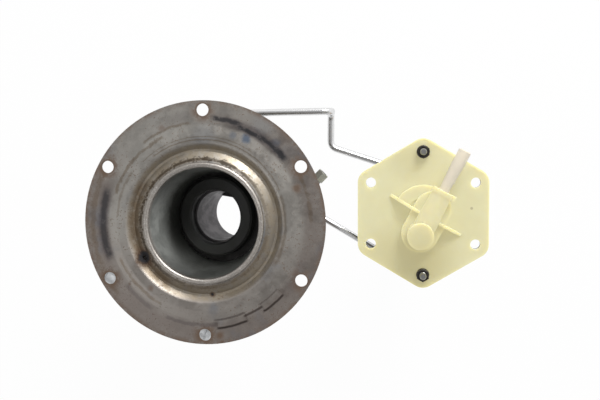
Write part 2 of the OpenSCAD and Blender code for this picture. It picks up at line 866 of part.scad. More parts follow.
// Terminal tag riveted to the cover
module sender_tag() {
    color("goldenrod")
        at_pivot(cover_y + cover_t)
            translate(tag_place)
                difference() {
                    union() {
                        cube([6, 14.5, 0.8]);
                        translate([3, 3, 0]) cylinder(r = 2, h = 1.6);
                    }
                    translate([3, 11.5, -past]) cylinder(r = 1.5, h = 0.8 + 2 * past);
                }
}

// Pickup tube from the riser's socket down to the strainer
module dip_tube() {
    color("silver")
        translate([dip_x, dip_y, -dip_length])
            ring(dip_r, dip_r - 1, dip_length - 0.5);
}

// Clip that holds the pickup tube to the bracket's leg
module dip_clip() {
    clip_r = dip_r + sheet_t;
    reach = leg_y - dip_y;
    color("silver")
        translate([dip_x, dip_y, -pivot_depth - leg_drop])
            difference() {
                union() {
                    cylinder(r = clip_r, h = clip_h);
                    translate([-clip_r, 0, 0]) cube([2 * clip_r, reach, clip_h]);
                    translate([-9.5, reach - sheet_t, 0]) cube([19, sheet_t, clip_h]);
                }
                translate([0, 0, -past]) cylinder(r = dip_r + push_gap, h = clip_h + 2 * past);
                translate([-dip_r, 0, -past]) cube([2 * dip_r, reach - sheet_t, clip_h + 2 * past]);
            }
}

// Cage of the strainer with four windows
module strainer_cage() {
    color([0.85, 0.85, 0.8])
        translate([dip_x, dip_y, cage_overlap - dip_length - cage_h])
            difference() {
                cylinder(r = cage_r, h = cage_h);
                translate([0, 0, cage_base])
                    cylinder(r = cage_r - cage_wall, h = cage_h - cage_base - cage_roof);
                translate([0, 0, cage_h - cage_roof - past])
                    cylinder(r = dip_r + push_gap, h = cage_roof + 2 * past);
                for (turn = [45, 135])
                    rotate([0, 0, turn]) translate([-5, -10, 4]) cube([10, 20, cage_h - 9.5]);
            }
}

// Fine mesh sleeve inside the cage
module strainer_mesh() {
    color("wheat")
        translate([dip_x, dip_y, cage_overlap - dip_length - cage_h + cage_base])
            ring(cage_r - cage_wall - push_gap, cage_r - cage_wall - mesh_t, cage_h - cage_base - cage_roof);
}

// Cranked wire arm, whose inner end is the pivot shaft
module float_arm() {
    color("gainsboro")
        bar(arm_route, arm_r, arm_bend_r);
}

// Brass hub of the wiper on the shaft
module wiper_hub() {
    color("goldenrod")
        at_pivot(wiper_y - 2) ring(arm_r + 2.2, arm_r + push_gap, 4);
}

// Wiper blade with its contact pad against the winding
module wiper_blade() {
    pad_r = 1.2;
    color("gold")
        at_pivot(wiper_y)
            rotate([0, 0, wiper_rest]) {
                difference() {
                    translate([3, -1.4, -0.4]) cube([card_r - pad_r - 3.1, 2.8, 0.8]);
                    translate([0, 0, -past]) cylinder(r = arm_r + 2.2, h = 2 * past);
                }
                translate([card_r - pad_r - 0.1, 0, -2]) cylinder(r = pad_r, h = 4);
            }
}

// Push-on clip that keeps the shaft in the bracket's leg
module shaft_clip() {
    color("dimgray")
        at_pivot(leg_y - seat_gap - 0.8) ring(4.2, arm_r + push_gap, 0.8);
}

// Frame along the float's axis from its centre
module along_float(s) {
    translate(float_centre + float_dir * s) aim(float_dir) children();
}

// Push-on clip at one end of the float
module float_clip(k) {
    color("dimgray")
        along_float(k == 0 ? -float_half - 1.5 : float_half + 0.5) ring(5, arm_r + push_gap, 1);
}

// Float body: thin tube with a raised seam round its middle
module float_shell() {
    color("lightgray")
        along_float(0)
            difference() {
                union() {
                    translate([0, 0, -float_half + 3]) cylinder(r = float_r, h = float_length - 6);
                    translate([0, 0, -0.8]) cylinder(r = float_r + 0.4, h = 1.6);
                }
                translate([0, 0, -float_half]) cylinder(r = float_r - 0.6, h = float_length);
            }
}

// Dished end cap of the float
module float_cap(k) {
    rim = float_half - 3;
    spigot = float_r - 0.6;
    color("silver")
        along_float(0)
            mirror([0, 0, k == 0 ? 1 : 0])
                rotate_extrude()
                    polygon([[arm_r + 1, rim + 1.8], [arm_r + 1, rim + 3], [float_r - 1.5, rim + 3],
                        [float_r, rim + 1.5], [float_r, rim], [spigot, rim], [spigot, rim - 2],
                        [spigot - 0.6, rim - 2], [spigot - 0.6, rim + 1], [spigot - 1.4, rim + 1.8]]);
}

// Tube through the float, in which it turns on the arm
module float_tube() {
    color("silver")
        along_float(-float_half) ring(arm_r + 1, arm_r + run_gap, float_length);
}

filler_flange();
neck_cup();
cup_floor();
spout_tube();
spout_ring();
locator_tab(0);  // locator_tab_a
locator_tab(1);  // locator_tab_b
locator_tab(2);  // locator_tab_c
drain_nipple();
vent_pipe();
vent_nut();
stay_saddle(0);  // stay_saddle_a
stay_saddle(1);  // stay_saddle_b
stay_rod();
stay_tab();
stay_nut(0);  // stay_nut_a
stay_nut(1);  // stay_nut_b
head_gasket();
head_plate();
outlet_tube();
stud(0);  // stud_a
stud(1);  // stud_b
stud_nut(0);  // stud_nut_a
stud_nut(1);  // stud_nut_b
stud_washer(0);  // stud_washer_a
stud_washer(1);  // stud_washer_b
sender_bracket();
rheostat_case();
case_cover();
cover_screw(0);  // cover_screw_a
cover_screw(1);  // cover_screw_b
cover_screw(2);  // cover_screw_c
cover_screw(3);  // cover_screw_d
case_rivet(0);  // case_rivet_a
case_rivet(1);  // case_rivet_b
pivot_bush();
resistor_card();
resistor_winding();
sender_tag();
dip_tube();
dip_clip();
strainer_cage();
strainer_mesh();
float_arm();
wiper_hub();
wiper_blade();
shaft_clip();
float_clip(0);  // float_clip_a
float_clip(1);  // float_clip_b
float_shell();
float_cap(0);  // float_cap_a
float_cap(1);  // float_cap_b
float_tube();
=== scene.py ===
"""Dressed model of a fuel tank sending unit.

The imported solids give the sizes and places. This file gives each of them its finish, adds the threads, nuts,
weld beads and turns of wire that the solids leave plain, and sets up the studio. Sizes are in millimetres and
angles in degrees, unless a docstring says otherwise.
"""

import logging
import math
from dataclasses import dataclass, field
from enum import Enum
from typing import Callable, Iterable, Sequence, Union

import bmesh
import bpy
from mathutils import Euler, Matrix, Vector


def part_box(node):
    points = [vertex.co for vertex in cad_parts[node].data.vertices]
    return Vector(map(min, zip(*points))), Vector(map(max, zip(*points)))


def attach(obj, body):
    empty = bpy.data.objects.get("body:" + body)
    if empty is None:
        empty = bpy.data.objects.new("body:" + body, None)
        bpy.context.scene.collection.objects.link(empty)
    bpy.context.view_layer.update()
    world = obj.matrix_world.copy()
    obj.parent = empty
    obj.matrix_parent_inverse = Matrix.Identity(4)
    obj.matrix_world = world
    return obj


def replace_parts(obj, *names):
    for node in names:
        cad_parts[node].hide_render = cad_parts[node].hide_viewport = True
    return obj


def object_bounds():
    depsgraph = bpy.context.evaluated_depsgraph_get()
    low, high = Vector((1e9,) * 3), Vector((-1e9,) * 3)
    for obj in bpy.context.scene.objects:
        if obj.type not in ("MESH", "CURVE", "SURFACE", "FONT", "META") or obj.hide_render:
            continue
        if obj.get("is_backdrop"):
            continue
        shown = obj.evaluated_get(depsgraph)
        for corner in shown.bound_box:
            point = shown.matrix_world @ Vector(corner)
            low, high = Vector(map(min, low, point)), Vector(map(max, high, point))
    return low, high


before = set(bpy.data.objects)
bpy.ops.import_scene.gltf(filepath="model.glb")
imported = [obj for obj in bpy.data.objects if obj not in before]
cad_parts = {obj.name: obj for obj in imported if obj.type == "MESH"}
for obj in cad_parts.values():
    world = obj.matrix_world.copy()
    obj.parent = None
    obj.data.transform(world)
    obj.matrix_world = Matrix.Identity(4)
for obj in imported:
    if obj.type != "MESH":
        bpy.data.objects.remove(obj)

LOG = logging.getLogger("sending_unit")
MM = 0.001
DEGREE = math.pi / 180
# Sockets of a colour mix, whose names repeat
MIX_INPUTS = (0, 6, 7)
MIX_RESULT = 2
# Sweep of a loop's points and the step between them; the last point stops one step short of the first
LOOP_SWEEP = 357.0
LOOP_STEP = 3.0
Colour = tuple[float, float, float]
Span = tuple[float, float]
Mesh = bmesh.types.BMesh
Socket = bpy.types.NodeSocket
Feed = Union[float, Sequence[float], bpy.types.NodeSocket]
Given = dict[str, Socket]
Ring = Callable[[float], tuple[float, float]]


class Body(Enum):
    """The bodies that carry added pieces."""

    SENDER = "sender"
    FLOAT = "float"


class MathStep(Enum):
    """Arithmetic that the shader graphs use."""

    ADD = "ADD"
    SUBTRACT = "SUBTRACT"
    MULTIPLY = "MULTIPLY"
    DIVIDE = "DIVIDE"
    SQRT = "SQRT"
    ABSOLUTE = "ABSOLUTE"
    SINE = "SINE"
    COSINE = "COSINE"
    ARCTAN2 = "ARCTAN2"
    WRAP = "WRAP"
    MAXIMUM = "MAXIMUM"


class Graph:
    """A node tree with short calls for adding and joining nodes."""

    def __init__(self, tree: bpy.types.NodeTree) -> None:
        """Wraps the node tree of a material, world or group.

        Args:
            tree: The tree, which may hold nodes already.
        """
        self.tree = tree
        self.column = 0

    def add(self, kind: str, **settings: object) -> bpy.types.Node:
        """Adds a node.

        Args:
            kind: The node's type name.
            **settings: Properties to set on the node.

        Returns:
            The new node.
        """
        node = self.tree.nodes.new(kind)
        node.location = (180 * (self.column % 12), -220 * (self.column // 12))
        self.column += 1
        for key, value in settings.items():
            setattr(node, key, value)
        return node

    def feed(self, target: Socket, source: Feed) -> None:
        """Links a socket to its source, or sets its value.

        Args:
            target: The input socket.
            source: An output socket, a number or a colour.
        """
        if isinstance(source, bpy.types.NodeSocket):
            self.tree.links.new(source, target)
        elif isinstance(source, (int, float)):
            target.default_value = source
        else:
            values = tuple(source)
            wide = len(target.default_value) == 4 and len(values) == 3
            target.default_value = (*values, 1.0) if wide else values

    def math(self, step: MathStep, *sources: Feed) -> Socket:
        """Adds one step of arithmetic and returns its result.

        Args:
            step: The operation.
            *sources: Its numbers or sockets.

        Returns:
            The result's socket.
        """
        node = self.add("ShaderNodeMath", operation=step.value)
        for target, source in zip(node.inputs, sources):
            self.feed(target, source)
        return node.outputs[0]

    def plus(self, first: Feed, second: Feed) -> Socket:
        """Returns the sum of two values."""
        return self.math(MathStep.ADD, first, second)

    def minus(self, first: Feed, second: Feed) -> Socket:
        """Returns the first value less the second."""
        return self.math(MathStep.SUBTRACT, first, second)

    def times(self, first: Feed, second: Feed) -> Socket:
        """Returns the product of two values."""
        return self.math(MathStep.MULTIPLY, first, second)

    def over(self, first: Feed, second: Feed) -> Socket:
        """Returns the first value divided by the second."""
        return self.math(MathStep.DIVIDE, first, second)

    def most(self, first: Feed, *others: Feed) -> Socket:
        """Returns the largest of several values.

        Args:
            first: The first value.
            *others: The other values.

        Returns:
            The largest value's socket.
        """
        for other in others:
            first = self.math(MathStep.MAXIMUM, first, other)
        return first

    def smooth(self, value: Feed, low: float, high: float, first: float = 0.0, last: float = 1.0) -> Socket:
        """Maps a value smoothly from the range low..high to first..last.

        Args:
            value: The value to map.
            low: The value at which the result is first.
            high: The value at which the result is last.
            first: The result at low.
            last: The result at high.

        Returns:
            The mapped value's socket.
        """
        node = self.add("ShaderNodeMapRange", interpolation_type="SMOOTHSTEP")
        if low > high:
            low, high, first, last = high, low, last, first
        names = ("Value", "From Min", "From Max", "To Min", "To Max")
        for name, source in zip(names, (value, low, high, first, last)):
            self.feed(node.inputs[name], source)
        return node.outputs[0]

    def mix(self, factor: Feed, first: Feed, second: Feed) -> Socket:
        """Mixes two colours.

        Args:
            factor: Share of the second colour.
            first: The first colour.
            second: The second colour.

        Returns:
            The mixed colour's socket.
        """
        node = self.add("ShaderNodeMix", data_type="RGBA")
        for slot, source in zip(MIX_INPUTS, (factor, first, second)):
            self.feed(node.inputs[slot], source)
        return node.outputs[MIX_RESULT]

    def noise(self, place: Feed, scale: Feed, detail: float, rough: float = 0.55, warp: float = 0.0) -> Socket:
        """Adds a noise pattern and returns its value.

        Args:
            place: The point to sample.
            scale: Waves in a metre.
            detail: Number of finer layers.
            rough: Weight of the finer layers.
            warp: How far the pattern is distorted.

        Returns:
            The pattern's value from 0 to 1.
        """
        node = self.add("ShaderNodeTexNoise")
        names = ("Vector", "Scale", "Detail", "Roughness", "Distortion")
        for name, source in zip(names, (place, scale, detail, rough, warp)):
            self.feed(node.inputs[name], source)
        return node.outputs["Fac"]

    def axes(self, place: Feed) -> tuple[Socket, Socket, Socket]:
        """Returns the three coordinates of a point.

        Args:
            place: The point.

        Returns:
            Sockets of its X, Y and Z.
        """
        node = self.add("ShaderNodeSeparateXYZ")
        self.feed(node.inputs[0], place)
        return node.outputs[0], node.outputs[1], node.outputs[2]

    def distance(self, first: Feed, second: Feed) -> Socket:
        """Returns the length of a vector from its two coordinates."""
        return self.math(MathStep.SQRT, self.plus(self.times(first, first), self.times(second, second)))

    def effect(self, group: bpy.types.NodeTree, **sources: Feed) -> Given:
        """Places an effect group.

        Args:
            group: The group.
            **sources: Values for its inputs, with _ for a space in a name.

        Returns:
            The group's outputs by name.
        """
        node = self.add("ShaderNodeGroup", node_tree=group)
        for key, source in sources.items():
            self.feed(node.inputs[key.replace("_", " ")], source)
        return {socket.name: socket for socket in node.outputs}


@dataclass(frozen=True)
class Effect:
    """A shader effect that several finishes share, built as a node group when it is first used."""

    name: str
    inputs: tuple[str, ...]
    outputs: tuple[str, ...]
    fill: Callable[[Graph, Given], tuple[Socket, ...]]

    def group(self) -> bpy.types.NodeTree:
        """Builds the effect's node group.

        Returns:
            The group.
        """
        tree = bpy.data.node_groups.new(self.name, "ShaderNodeTree")
        for label in self.inputs:
            kind = "NodeSocketVector" if label == "Place" else "NodeSocketFloat"
            tree.interface.new_socket(name=label, in_out="INPUT", socket_type=kind)
        for label in self.outputs:
            tree.interface.new_socket(name=label, in_out="OUTPUT", socket_type="NodeSocketFloat")
        graph = Graph(tree)
        start = graph.add("NodeGroupInput")
        end = graph.add("NodeGroupOutput")
        results = self.fill(graph, {socket.name: socket for socket in start.outputs if socket.name})
        for label, result in zip(self.outputs, results):
            graph.feed(end.inputs[label], result)
        return tree


def fill_mottle(graph: Graph, given: Given) -> tuple[Socket, ...]:
    """Makes blotches at two sizes, as on worn metal.

    Args:
        graph: The group's graph.
        given: Its inputs: the place and the wide blotches in a metre.

    Returns:
        The blotches' mask.
    """
    wide = graph.noise(given["Place"], given["Scale"], 5.0, 0.6, 0.4)
    fine = graph.noise(given["Place"], graph.times(given["Scale"], 6.0), 3.0, 0.6)
    return (graph.smooth(graph.plus(graph.times(wide, 0.7), graph.times(fine, 0.3)), 0.36, 0.64),)


def fill_polar(graph: Graph, given: Given) -> tuple[Socket, ...]:
    """Finds a point's place about the neck's axis.

    Args:
        graph: The group's graph.
        given: Its input: the place.

    Returns:
        The distance in millimetres and the direction in degrees.
    """
    x, y, _ = graph.axes(given["Place"])
    return (graph.over(graph.distance(x, y), MM), graph.over(graph.math(MathStep.ARCTAN2, y, x), DEGREE))


def fill_arc_mark(graph: Graph, given: Given) -> tuple[Socket, ...]:
    """Makes a ragged mark along part of a circle, such as the heat mark of a weld behind the sheet.

    Args:
        graph: The group's graph.
        given: Its inputs: the place, its distance and direction, and the arc's sizes.

    Returns:
        The mark's mask.
    """
    wander = graph.times(graph.minus(graph.noise(given["Place"], 260.0, 4.0, 0.65), 0.5), given["Ragged"])
    off = graph.math(MathStep.ABSOLUTE, graph.plus(graph.minus(given["Radius"], given["Middle"]), wander))
    across = graph.minus(1.0, graph.over(off, given["Half width"]))
    turn = graph.math(MathStep.WRAP, graph.minus(given["Angle"], given["Centre"]), -180.0, 180.0)
    along = graph.minus(given["Half sweep"], graph.math(MathStep.ABSOLUTE, turn))
    along = graph.over(graph.plus(along, graph.times(wander, 1.5)), graph.times(given["Half width"], 1.6))
    return (graph.times(graph.smooth(across, 0.0, 0.7), graph.smooth(along, -0.2, 1.0)),)


def fill_hole_circle(graph: Graph, given: Given) -> tuple[Socket, ...]:
    """Finds the distance in millimetres to the nearest of six holes on a circle.

    Args:
        graph: The group's graph.
        given: Its inputs: distance and direction from the axis, and the circle's radius.

    Returns:
        The distance.
    """
    folded = graph.math(MathStep.WRAP, graph.minus(given["Angle"], 30.0), -30.0, 30.0)
    cosine = graph.math(MathStep.COSINE, graph.times(folded, DEGREE))
    radius, circle = given["Radius"], given["Circle"]
    square = graph.plus(graph.times(radius, radius), graph.times(circle, circle))
    cross = graph.times(graph.times(graph.times(radius, circle), 2.0), cosine)
    return (graph.math(MathStep.SQRT, graph.most(graph.minus(square, cross), 0.0)),)


def fill_spot(graph: Graph, given: Given) -> tuple[Socket, ...]:
    """Finds the distance in millimetres from an upright line.

    Args:
        graph: The group's graph.
        given: Its inputs: the place, and the line's X and Y in millimetres.

    Returns:
        The distance.
    """
    x, y, _ = graph.axes(given["Place"])
    across = graph.minus(graph.over(x, MM), given["X"])
    along = graph.minus(graph.over(y, MM), given["Y"])
    return (graph.distance(across, along),)


def fill_grain(graph: Graph, given: Given) -> tuple[Socket, ...]:
    """Makes fine surface grain with a few deeper pits.

    Args:
        graph: The group's graph.
        given: Its inputs: the place, the grains in a metre and the pits' depth.

    Returns:
        The grain's height.
    """
    fine = graph.noise(given["Place"], given["Scale"], 3.0, 0.6)
    pits = graph.noise(given["Place"], graph.times(given["Scale"], 0.45), 2.0, 0.5)
    return (graph.minus(fine, graph.times(graph.smooth(pits, 0.66, 0.74), given["Pits"])),)


MOTTLE = Effect("Mottle", ("Place", "Scale"), ("Mask",), fill_mottle)
POLAR = Effect("Polar place", ("Place",), ("Radius", "Angle"), fill_polar)
ARC_INPUTS = ("Place", "Radius", "Angle", "Middle", "Half width", "Centre", "Half sweep", "Ragged")
ARC_MARK = Effect("Arc mark", ARC_INPUTS, ("Mask",), fill_arc_mark)
HOLE_CIRCLE = Effect("Hole circle", ("Radius", "Angle", "Circle"), ("Distance",), fill_hole_circle)
SPOT = Effect("Spot", ("Place", "X", "Y"), ("Distance",), fill_spot)
GRAIN = Effect("Grain", ("Place", "Scale", "Pits"), ("Height",), fill_grain)


@dataclass
class Effects:
    """The effect groups that have been built."""

    made: dict[str, bpy.types.NodeTree] = field(default_factory=dict)

    def get(self, effect: Effect) -> bpy.types.NodeTree:
        """Returns an effect's group, and builds it the first time.

        Args:
            effect: The effect.

        Returns:
            Its group.
        """
        if effect.name not in self.made:
            self.made[effect.name] = effect.group()
        return self.made[effect.name]


@dataclass(frozen=True)
class Arc:
    """Mark along part of a circle about the neck's axis, in millimetres and degrees."""

    middle: float
    half: float
    centre: float
    half_sweep: float
    ragged: float
    weight: float


@dataclass(frozen=True)
class Dot:
    """Round mark, in millimetres from the neck's axis."""

    x: float
    y: float
    clear: float
    edge: float
    weight: float


class Surface(Graph):
    """The graph of a material, with its shader, the shared effects and the point in the part's frame."""

    def __init__(self, material: bpy.types.Material, effects: Effects) -> None:
        """Starts a material's graph with a shader.

        Args:
            material: The material.
            effects: The shared effects.
        """
        material.use_nodes = True
        material.node_tree.nodes.clear()
        super().__init__(material.node_tree)
        self.effects = effects
        self.shader = self.add("ShaderNodeBsdfPrincipled")
        end = self.add("ShaderNodeOutputMaterial")
        self.feed(end.inputs["Surface"], self.shader.outputs[0])
        self.place = self.add("ShaderNodeTexCoord").outputs["Object"]

    def set(self, name: str, source: Feed) -> None:
        """Links or sets an input of the shader."""
        self.feed(self.shader.inputs[name], source)

    def shared(self, effect: Effect, **sources: Feed) -> Given:
        """Places a shared effect.

        Args:
            effect: The effect.
            **sources: Values for its inputs.

        Returns:
            Its outputs by name.
        """
        return self.effect(self.effects.get(effect), **sources)

    def blotches(self, scale: float) -> Socket:
        """Returns the mask of blotches of a scale, in waves to the metre."""
        return self.shared(MOTTLE, Place=self.place, Scale=scale)["Mask"]

    def away(self, x: float, y: float) -> Socket:
        """Returns the distance in millimetres from an upright line."""
        return self.shared(SPOT, Place=self.place, X=x, Y=y)["Distance"]

    def height(self) -> Socket:
        """Returns the height above the mounting plane in millimetres."""
        return self.over(self.axes(self.place)[2], MM)

    def emboss(self, height: Feed, depth: float) -> None:
        """Feeds the shader's normal from a height.

        Args:
            height: The height's socket.
            depth: Height of a full wave in millimetres.
        """
        bump = self.add("ShaderNodeBump")
        bump.inputs["Strength"].default_value = 1.0
        bump.inputs["Distance"].default_value = depth * MM
        self.feed(bump.inputs["Height"], height)
        self.set("Normal", bump.outputs["Normal"])


@dataclass(frozen=True)
class Ground:
    """The flange's surface, with the places and the fine blotches that its marks are made from."""

    surface: Surface
    radius: Socket
    angle: Socket
    shreds: Socket

    def broken(self, mask: Socket, low: float, high: float, first: float = 0.0, last: float = 1.0) -> Socket:
        """Returns a mask that the fine blotches break up.

        Args:
            mask: The whole mask.
            low: Blotch value at which its share is first.
            high: Blotch value at which its share is last.
            first: The smaller share.
            last: The larger share.

        Returns:
            The broken mask's socket.
        """
        return self.surface.times(mask, self.surface.smooth(self.shreds, low, high, first, last))

    def dots(self, dots: Sequence[Dot], fray: float = 0.3) -> Socket:
        """Returns the joint mask of round marks with broken edges.

        Args:
            dots: The marks.
            fray: Share of a mark's radius by which its edge wanders.

        Returns:
            The mask's socket.
        """
        surface, total = self.surface, 0.0
        for dot in dots:
            wander = surface.times(surface.minus(0.5, self.shreds), fray * dot.edge)
            edge = surface.plus(surface.away(dot.x, dot.y), wander)
            total = surface.most(total, surface.smooth(edge, dot.edge, dot.clear, 0.0, dot.weight))
        return total

    def arcs(self, arcs: Sequence[Arc]) -> Socket:
        """Returns the joint mask of marks along circles.

        Args:
            arcs: The marks.

        Returns:
            The mask's socket.
        """
        surface, total = self.surface, 0.0
        for arc in arcs:
            mask = surface.shared(ARC_MARK, Place=surface.place, Radius=self.radius, Angle=self.angle,
                                  Middle=arc.middle, Half_width=arc.half, Centre=arc.centre,
                                  Half_sweep=arc.half_sweep, Ragged=arc.ragged)["Mask"]
            total = surface.most(total, surface.times(mask, arc.weight))
        return total


@dataclass(frozen=True)
class Finish:
    """A finish: a base colour that drifts to an accent, with grain and a spread of roughness.

    Scales are in waves to the metre. The uniform values are shader inputs that are the same all over.
    """

    name: str
    colour: Colour
    accent: Colour
    metallic: float = 0.0
    roughness: float = 0.4
    spread: float = 0.12
    blotch_scale: float = 60.0
    grain_scale: float = 1500.0
    grain_depth: float = 0.02
    pits: float = 0.0
    uniform: tuple[tuple[str, Feed], ...] = ()

    def material(self, effects: Effects) -> bpy.types.Material:
        """Builds the finish's material.

        Args:
            effects: The shared effects.

        Returns:
            The material.
        """
        material = bpy.data.materials.new(self.name)
        surface = Surface(material, effects)
        surface.set("Metallic", self.metallic)
        for name, value in self.uniform:
            surface.set(name, value)
        material.diffuse_color = (*self.colour, 1.0)
        self.paint(surface)
        return material

    def paint(self, surface: Surface) -> None:
        """Feeds the shader's colour, roughness and normal.

        Args:
            surface: The material's surface.
        """
        blotch = surface.blotches(self.blotch_scale)
        surface.set("Base Color", self.tint(surface, surface.mix(blotch, self.colour, self.accent)))
        surface.set("Roughness", surface.smooth(blotch, 0.0, 1.0, self.roughness, self.roughness + self.spread))
        grain = surface.shared(GRAIN, Place=surface.place, Scale=self.grain_scale, Pits=self.pits)["Height"]
        surface.emboss(grain, self.grain_depth)

    def tint(self, surface: Surface, colour: Socket) -> Socket:
        """Returns the colour with the marks that this finish has; a plain finish has none."""
        return colour


@dataclass(frozen=True)
class PressedSteel(Finish):
    """Worn bare steel of the flange, with patina, rust, stains, the marks of welding, painted sheen and painted
    shade at the pads' edges.
    """

    patina: Colour = (0.232, 0.198, 0.178)
    blue: Colour = (0.13, 0.16, 0.21)
    tan: Colour = (0.30, 0.25, 0.18)
    brown: Colour = (0.092, 0.052, 0.028)
    crevice: Colour = (0.040, 0.027, 0.014)
    soot: Colour = (0.014, 0.013, 0.015)
    film: Colour = (0.15, 0.105, 0.062)
    # Colour of the painted sheen: lighter bands where the flange catches the key light
    pale: Colour = (0.40, 0.385, 0.355)
    blush: Colour = (0.088, 0.072, 0.075)
    # Colour of the painted shade along the pads' edges
    painted_pad_shade: Colour = (0.035, 0.024, 0.019)
    shred_scale: float = 230.0
    dull_metallic: float = 0.2
    drawn_waves: float = 9.0
    drawn_depth: float = 0.3
    hole_circle: float = 60.0
    trough: Span = (33.4, 42.2)
    seam: float = 34.1
    worst: float = 140.0
    worn_rim: Span = (50.5, 56.5)
    rust_rim: Span = (61.5, 65.2)
    low_side: Span = (0.030, -0.050)
    halo: Span = (8.6, 3.5)
    hole_edge: Span = (4.9, 3.6)
    soot_arcs: tuple[Arc, ...] = (
        Arc(55.9, 2.1, 76.5, 9.5, 2.2, 0.95), Arc(54.4, 1.9, 62.0, 9.5, 2.4, 1.0),
        Arc(55.1, 2.0, 50.0, 8.5, 2.0, 1.0), Arc(55.2, 2.8, 41.5, 6.5, 3.0, 1.0),
        Arc(55.0, 2.5, 180.5, 21.0, 2.2, 0.85))
    blush_arcs: tuple[Arc, ...] = (
        Arc(54.9, 4.0, 57.0, 21.0, 2.6, 0.55), Arc(54.8, 4.2, 180.5, 22.5, 1.8, 0.6),
        Arc(54.4, 1.8, 228.0, 11.0, 2.4, 0.35), Arc(54.6, 1.5, 262.0, 16.0, 2.2, 0.4),
        Arc(57.0, 4.5, 104.0, 12.0, 6.0, 0.22), Arc(57.0, 3.5, 330.0, 12.0, 6.0, 0.25))
    film_arcs: tuple[Arc, ...] = (
        Arc(38.0, 4.4, 192.0, 50.0, 2.4, 0.7), Arc(34.0, 1.2, 118.0, 34.0, 1.6, 0.5),
        Arc(39.0, 2.6, 205.0, 30.0, 2.4, 0.35), Arc(34.4, 1.6, 300.0, 50.0, 2.0, 0.3),
        Arc(50.2, 1.3, 138.0, 24.0, 3.4, 0.55), Arc(53.6, 1.1, 112.0, 15.0, 3.0, 0.5),
        Arc(47.0, 1.0, 160.0, 16.0, 2.6, 0.35), Arc(49.4, 1.2, 222.0, 20.0, 3.2, 0.5),
        Arc(57.4, 1.4, 14.0, 14.0, 4.0, 0.45), Arc(44.4, 0.5, 75.0, 52.0, 0.9, 0.5),
        Arc(46.0, 0.4, 95.0, 40.0, 0.8, 0.4), Arc(43.6, 1.6, -5.0, 26.0, 2.4, 0.45),
        Arc(60.5, 2.2, 168.0, 26.0, 4.5, 0.45), Arc(61.0, 2.0, 205.0, 16.0, 4.0, 0.4))
    # Painted sheen: a lighter band on the upper left and highlights on the trough's slopes
    painted_sheen_arcs: tuple[Arc, ...] = (
        Arc(56.0, 15.0, 118.0, 38.0, 5.0, 0.75), Arc(47.0, 6.0, 160.0, 34.0, 5.0, 0.4),
        Arc(61.5, 6.0, 70.0, 22.0, 3.0, 0.5), Arc(36.6, 2.6, 62.0, 44.0, 1.5, 0.8),
        Arc(47.0, 8.0, 15.0, 30.0, 5.0, 0.3), Arc(38.5, 3.2, 285.0, 40.0, 3.0, 0.4))
    # Painted shade: dark lines along the edges of the embossed pads, where they turn away from the light
    painted_pad_shade_arcs: tuple[Arc, ...] = (
        Arc(56.7, 1.1, -74.3, 9.5, 0.7, 1.0), Arc(53.9, 1.0, -60.8, 6.8, 0.9, 0.95),
        Arc(56.6, 1.0, -48.5, 8.0, 0.7, 1.0), Arc(52.2, 0.85, -75.0, 10.0, 0.7, 0.7),
        Arc(52.3, 0.7, -48.5, 7.6, 0.7, 0.6), Arc(54.8, 2.2, -40.3, 2.2, 1.6, 0.9),
        Arc(54.6, 2.4, -83.6, 1.9, 0.6, 0.9), Arc(54.6, 2.4, -66.2, 1.7, 0.6, 0.7))
    stain_dots: tuple[Dot, ...] = (
        Dot(23.0, 44.6, 1.0, 3.6, 0.95), Dot(16.0, 46.4, 0.6, 3.0, 0.5), Dot(38.6, 42.0, 0.5, 4.2, 0.55),
        Dot(32.0, 52.0, 2.0, 9.0, 0.35), Dot(0.0, 47.0, 2.0, 9.0, 0.3))
    rust_dots: tuple[Dot, ...] = (
        Dot(-32.75, -18.68, 3.0, 7.4, 1.0), Dot(49.6, 18.6, 0.6, 3.8, 0.85), Dot(8.0, -60.0, 0.5, 3.6, 0.85),
        Dot(9.5, -64.0, 0.3, 2.6, 0.9), Dot(3.9, -38.4, 0.9, 2.2, 0.9), Dot(-41.0, -33.0, 0.2, 1.4, 0.7),
        Dot(-22.0, 50.5, 0.4, 3.0, 0.6), Dot(-29.0, -35.0, 0.2, 2.4, 0.7))
    pit_dots: tuple[Dot, ...] = (Dot(-32.75, -18.68, 2.4, 4.4, 1.0), Dot(3.9, -38.4, 0.5, 1.1, 1.0))

    def paint(self, surface: Surface) -> None:
        """Feeds the shader's colour, roughness, metallic and normal.

        Args:
            surface: The material's surface.
        """
        polar = surface.shared(POLAR, Place=surface.place)
        ground = Ground(surface, polar["Radius"], polar["Angle"], surface.blotches(self.shred_scale))
        blotch = surface.blotches(self.blotch_scale)
        trough, rust, groove = self.trough_mask(ground), self.rust(ground), self.groove(ground)
        # Painted shade along the edges of the embossed pads
        pad_shade_mask = ground.arcs(self.painted_pad_shade_arcs)
        soot = surface.most(ground.broken(ground.arcs(self.soot_arcs), -0.5, 0.35), ground.dots(self.pit_dots))
        outer = ground.broken(surface.smooth(ground.radius, *self.worn_rim), -0.9, 0.6)
        # Darker towards the bottom (the -Y side), in the patina's colour.
        low = surface.smooth(surface.axes(surface.place)[1], *self.low_side)
        clouds = surface.smooth(surface.noise(surface.place, 42.0, 3.0), 0.54, 0.7)
        stains = surface.most(ground.dots(self.stain_dots), surface.times(clouds, 0.4))
        film = ground.broken(ground.arcs(self.film_arcs), -0.6, 0.6)
        colour = surface.mix(blotch, self.colour, self.accent)
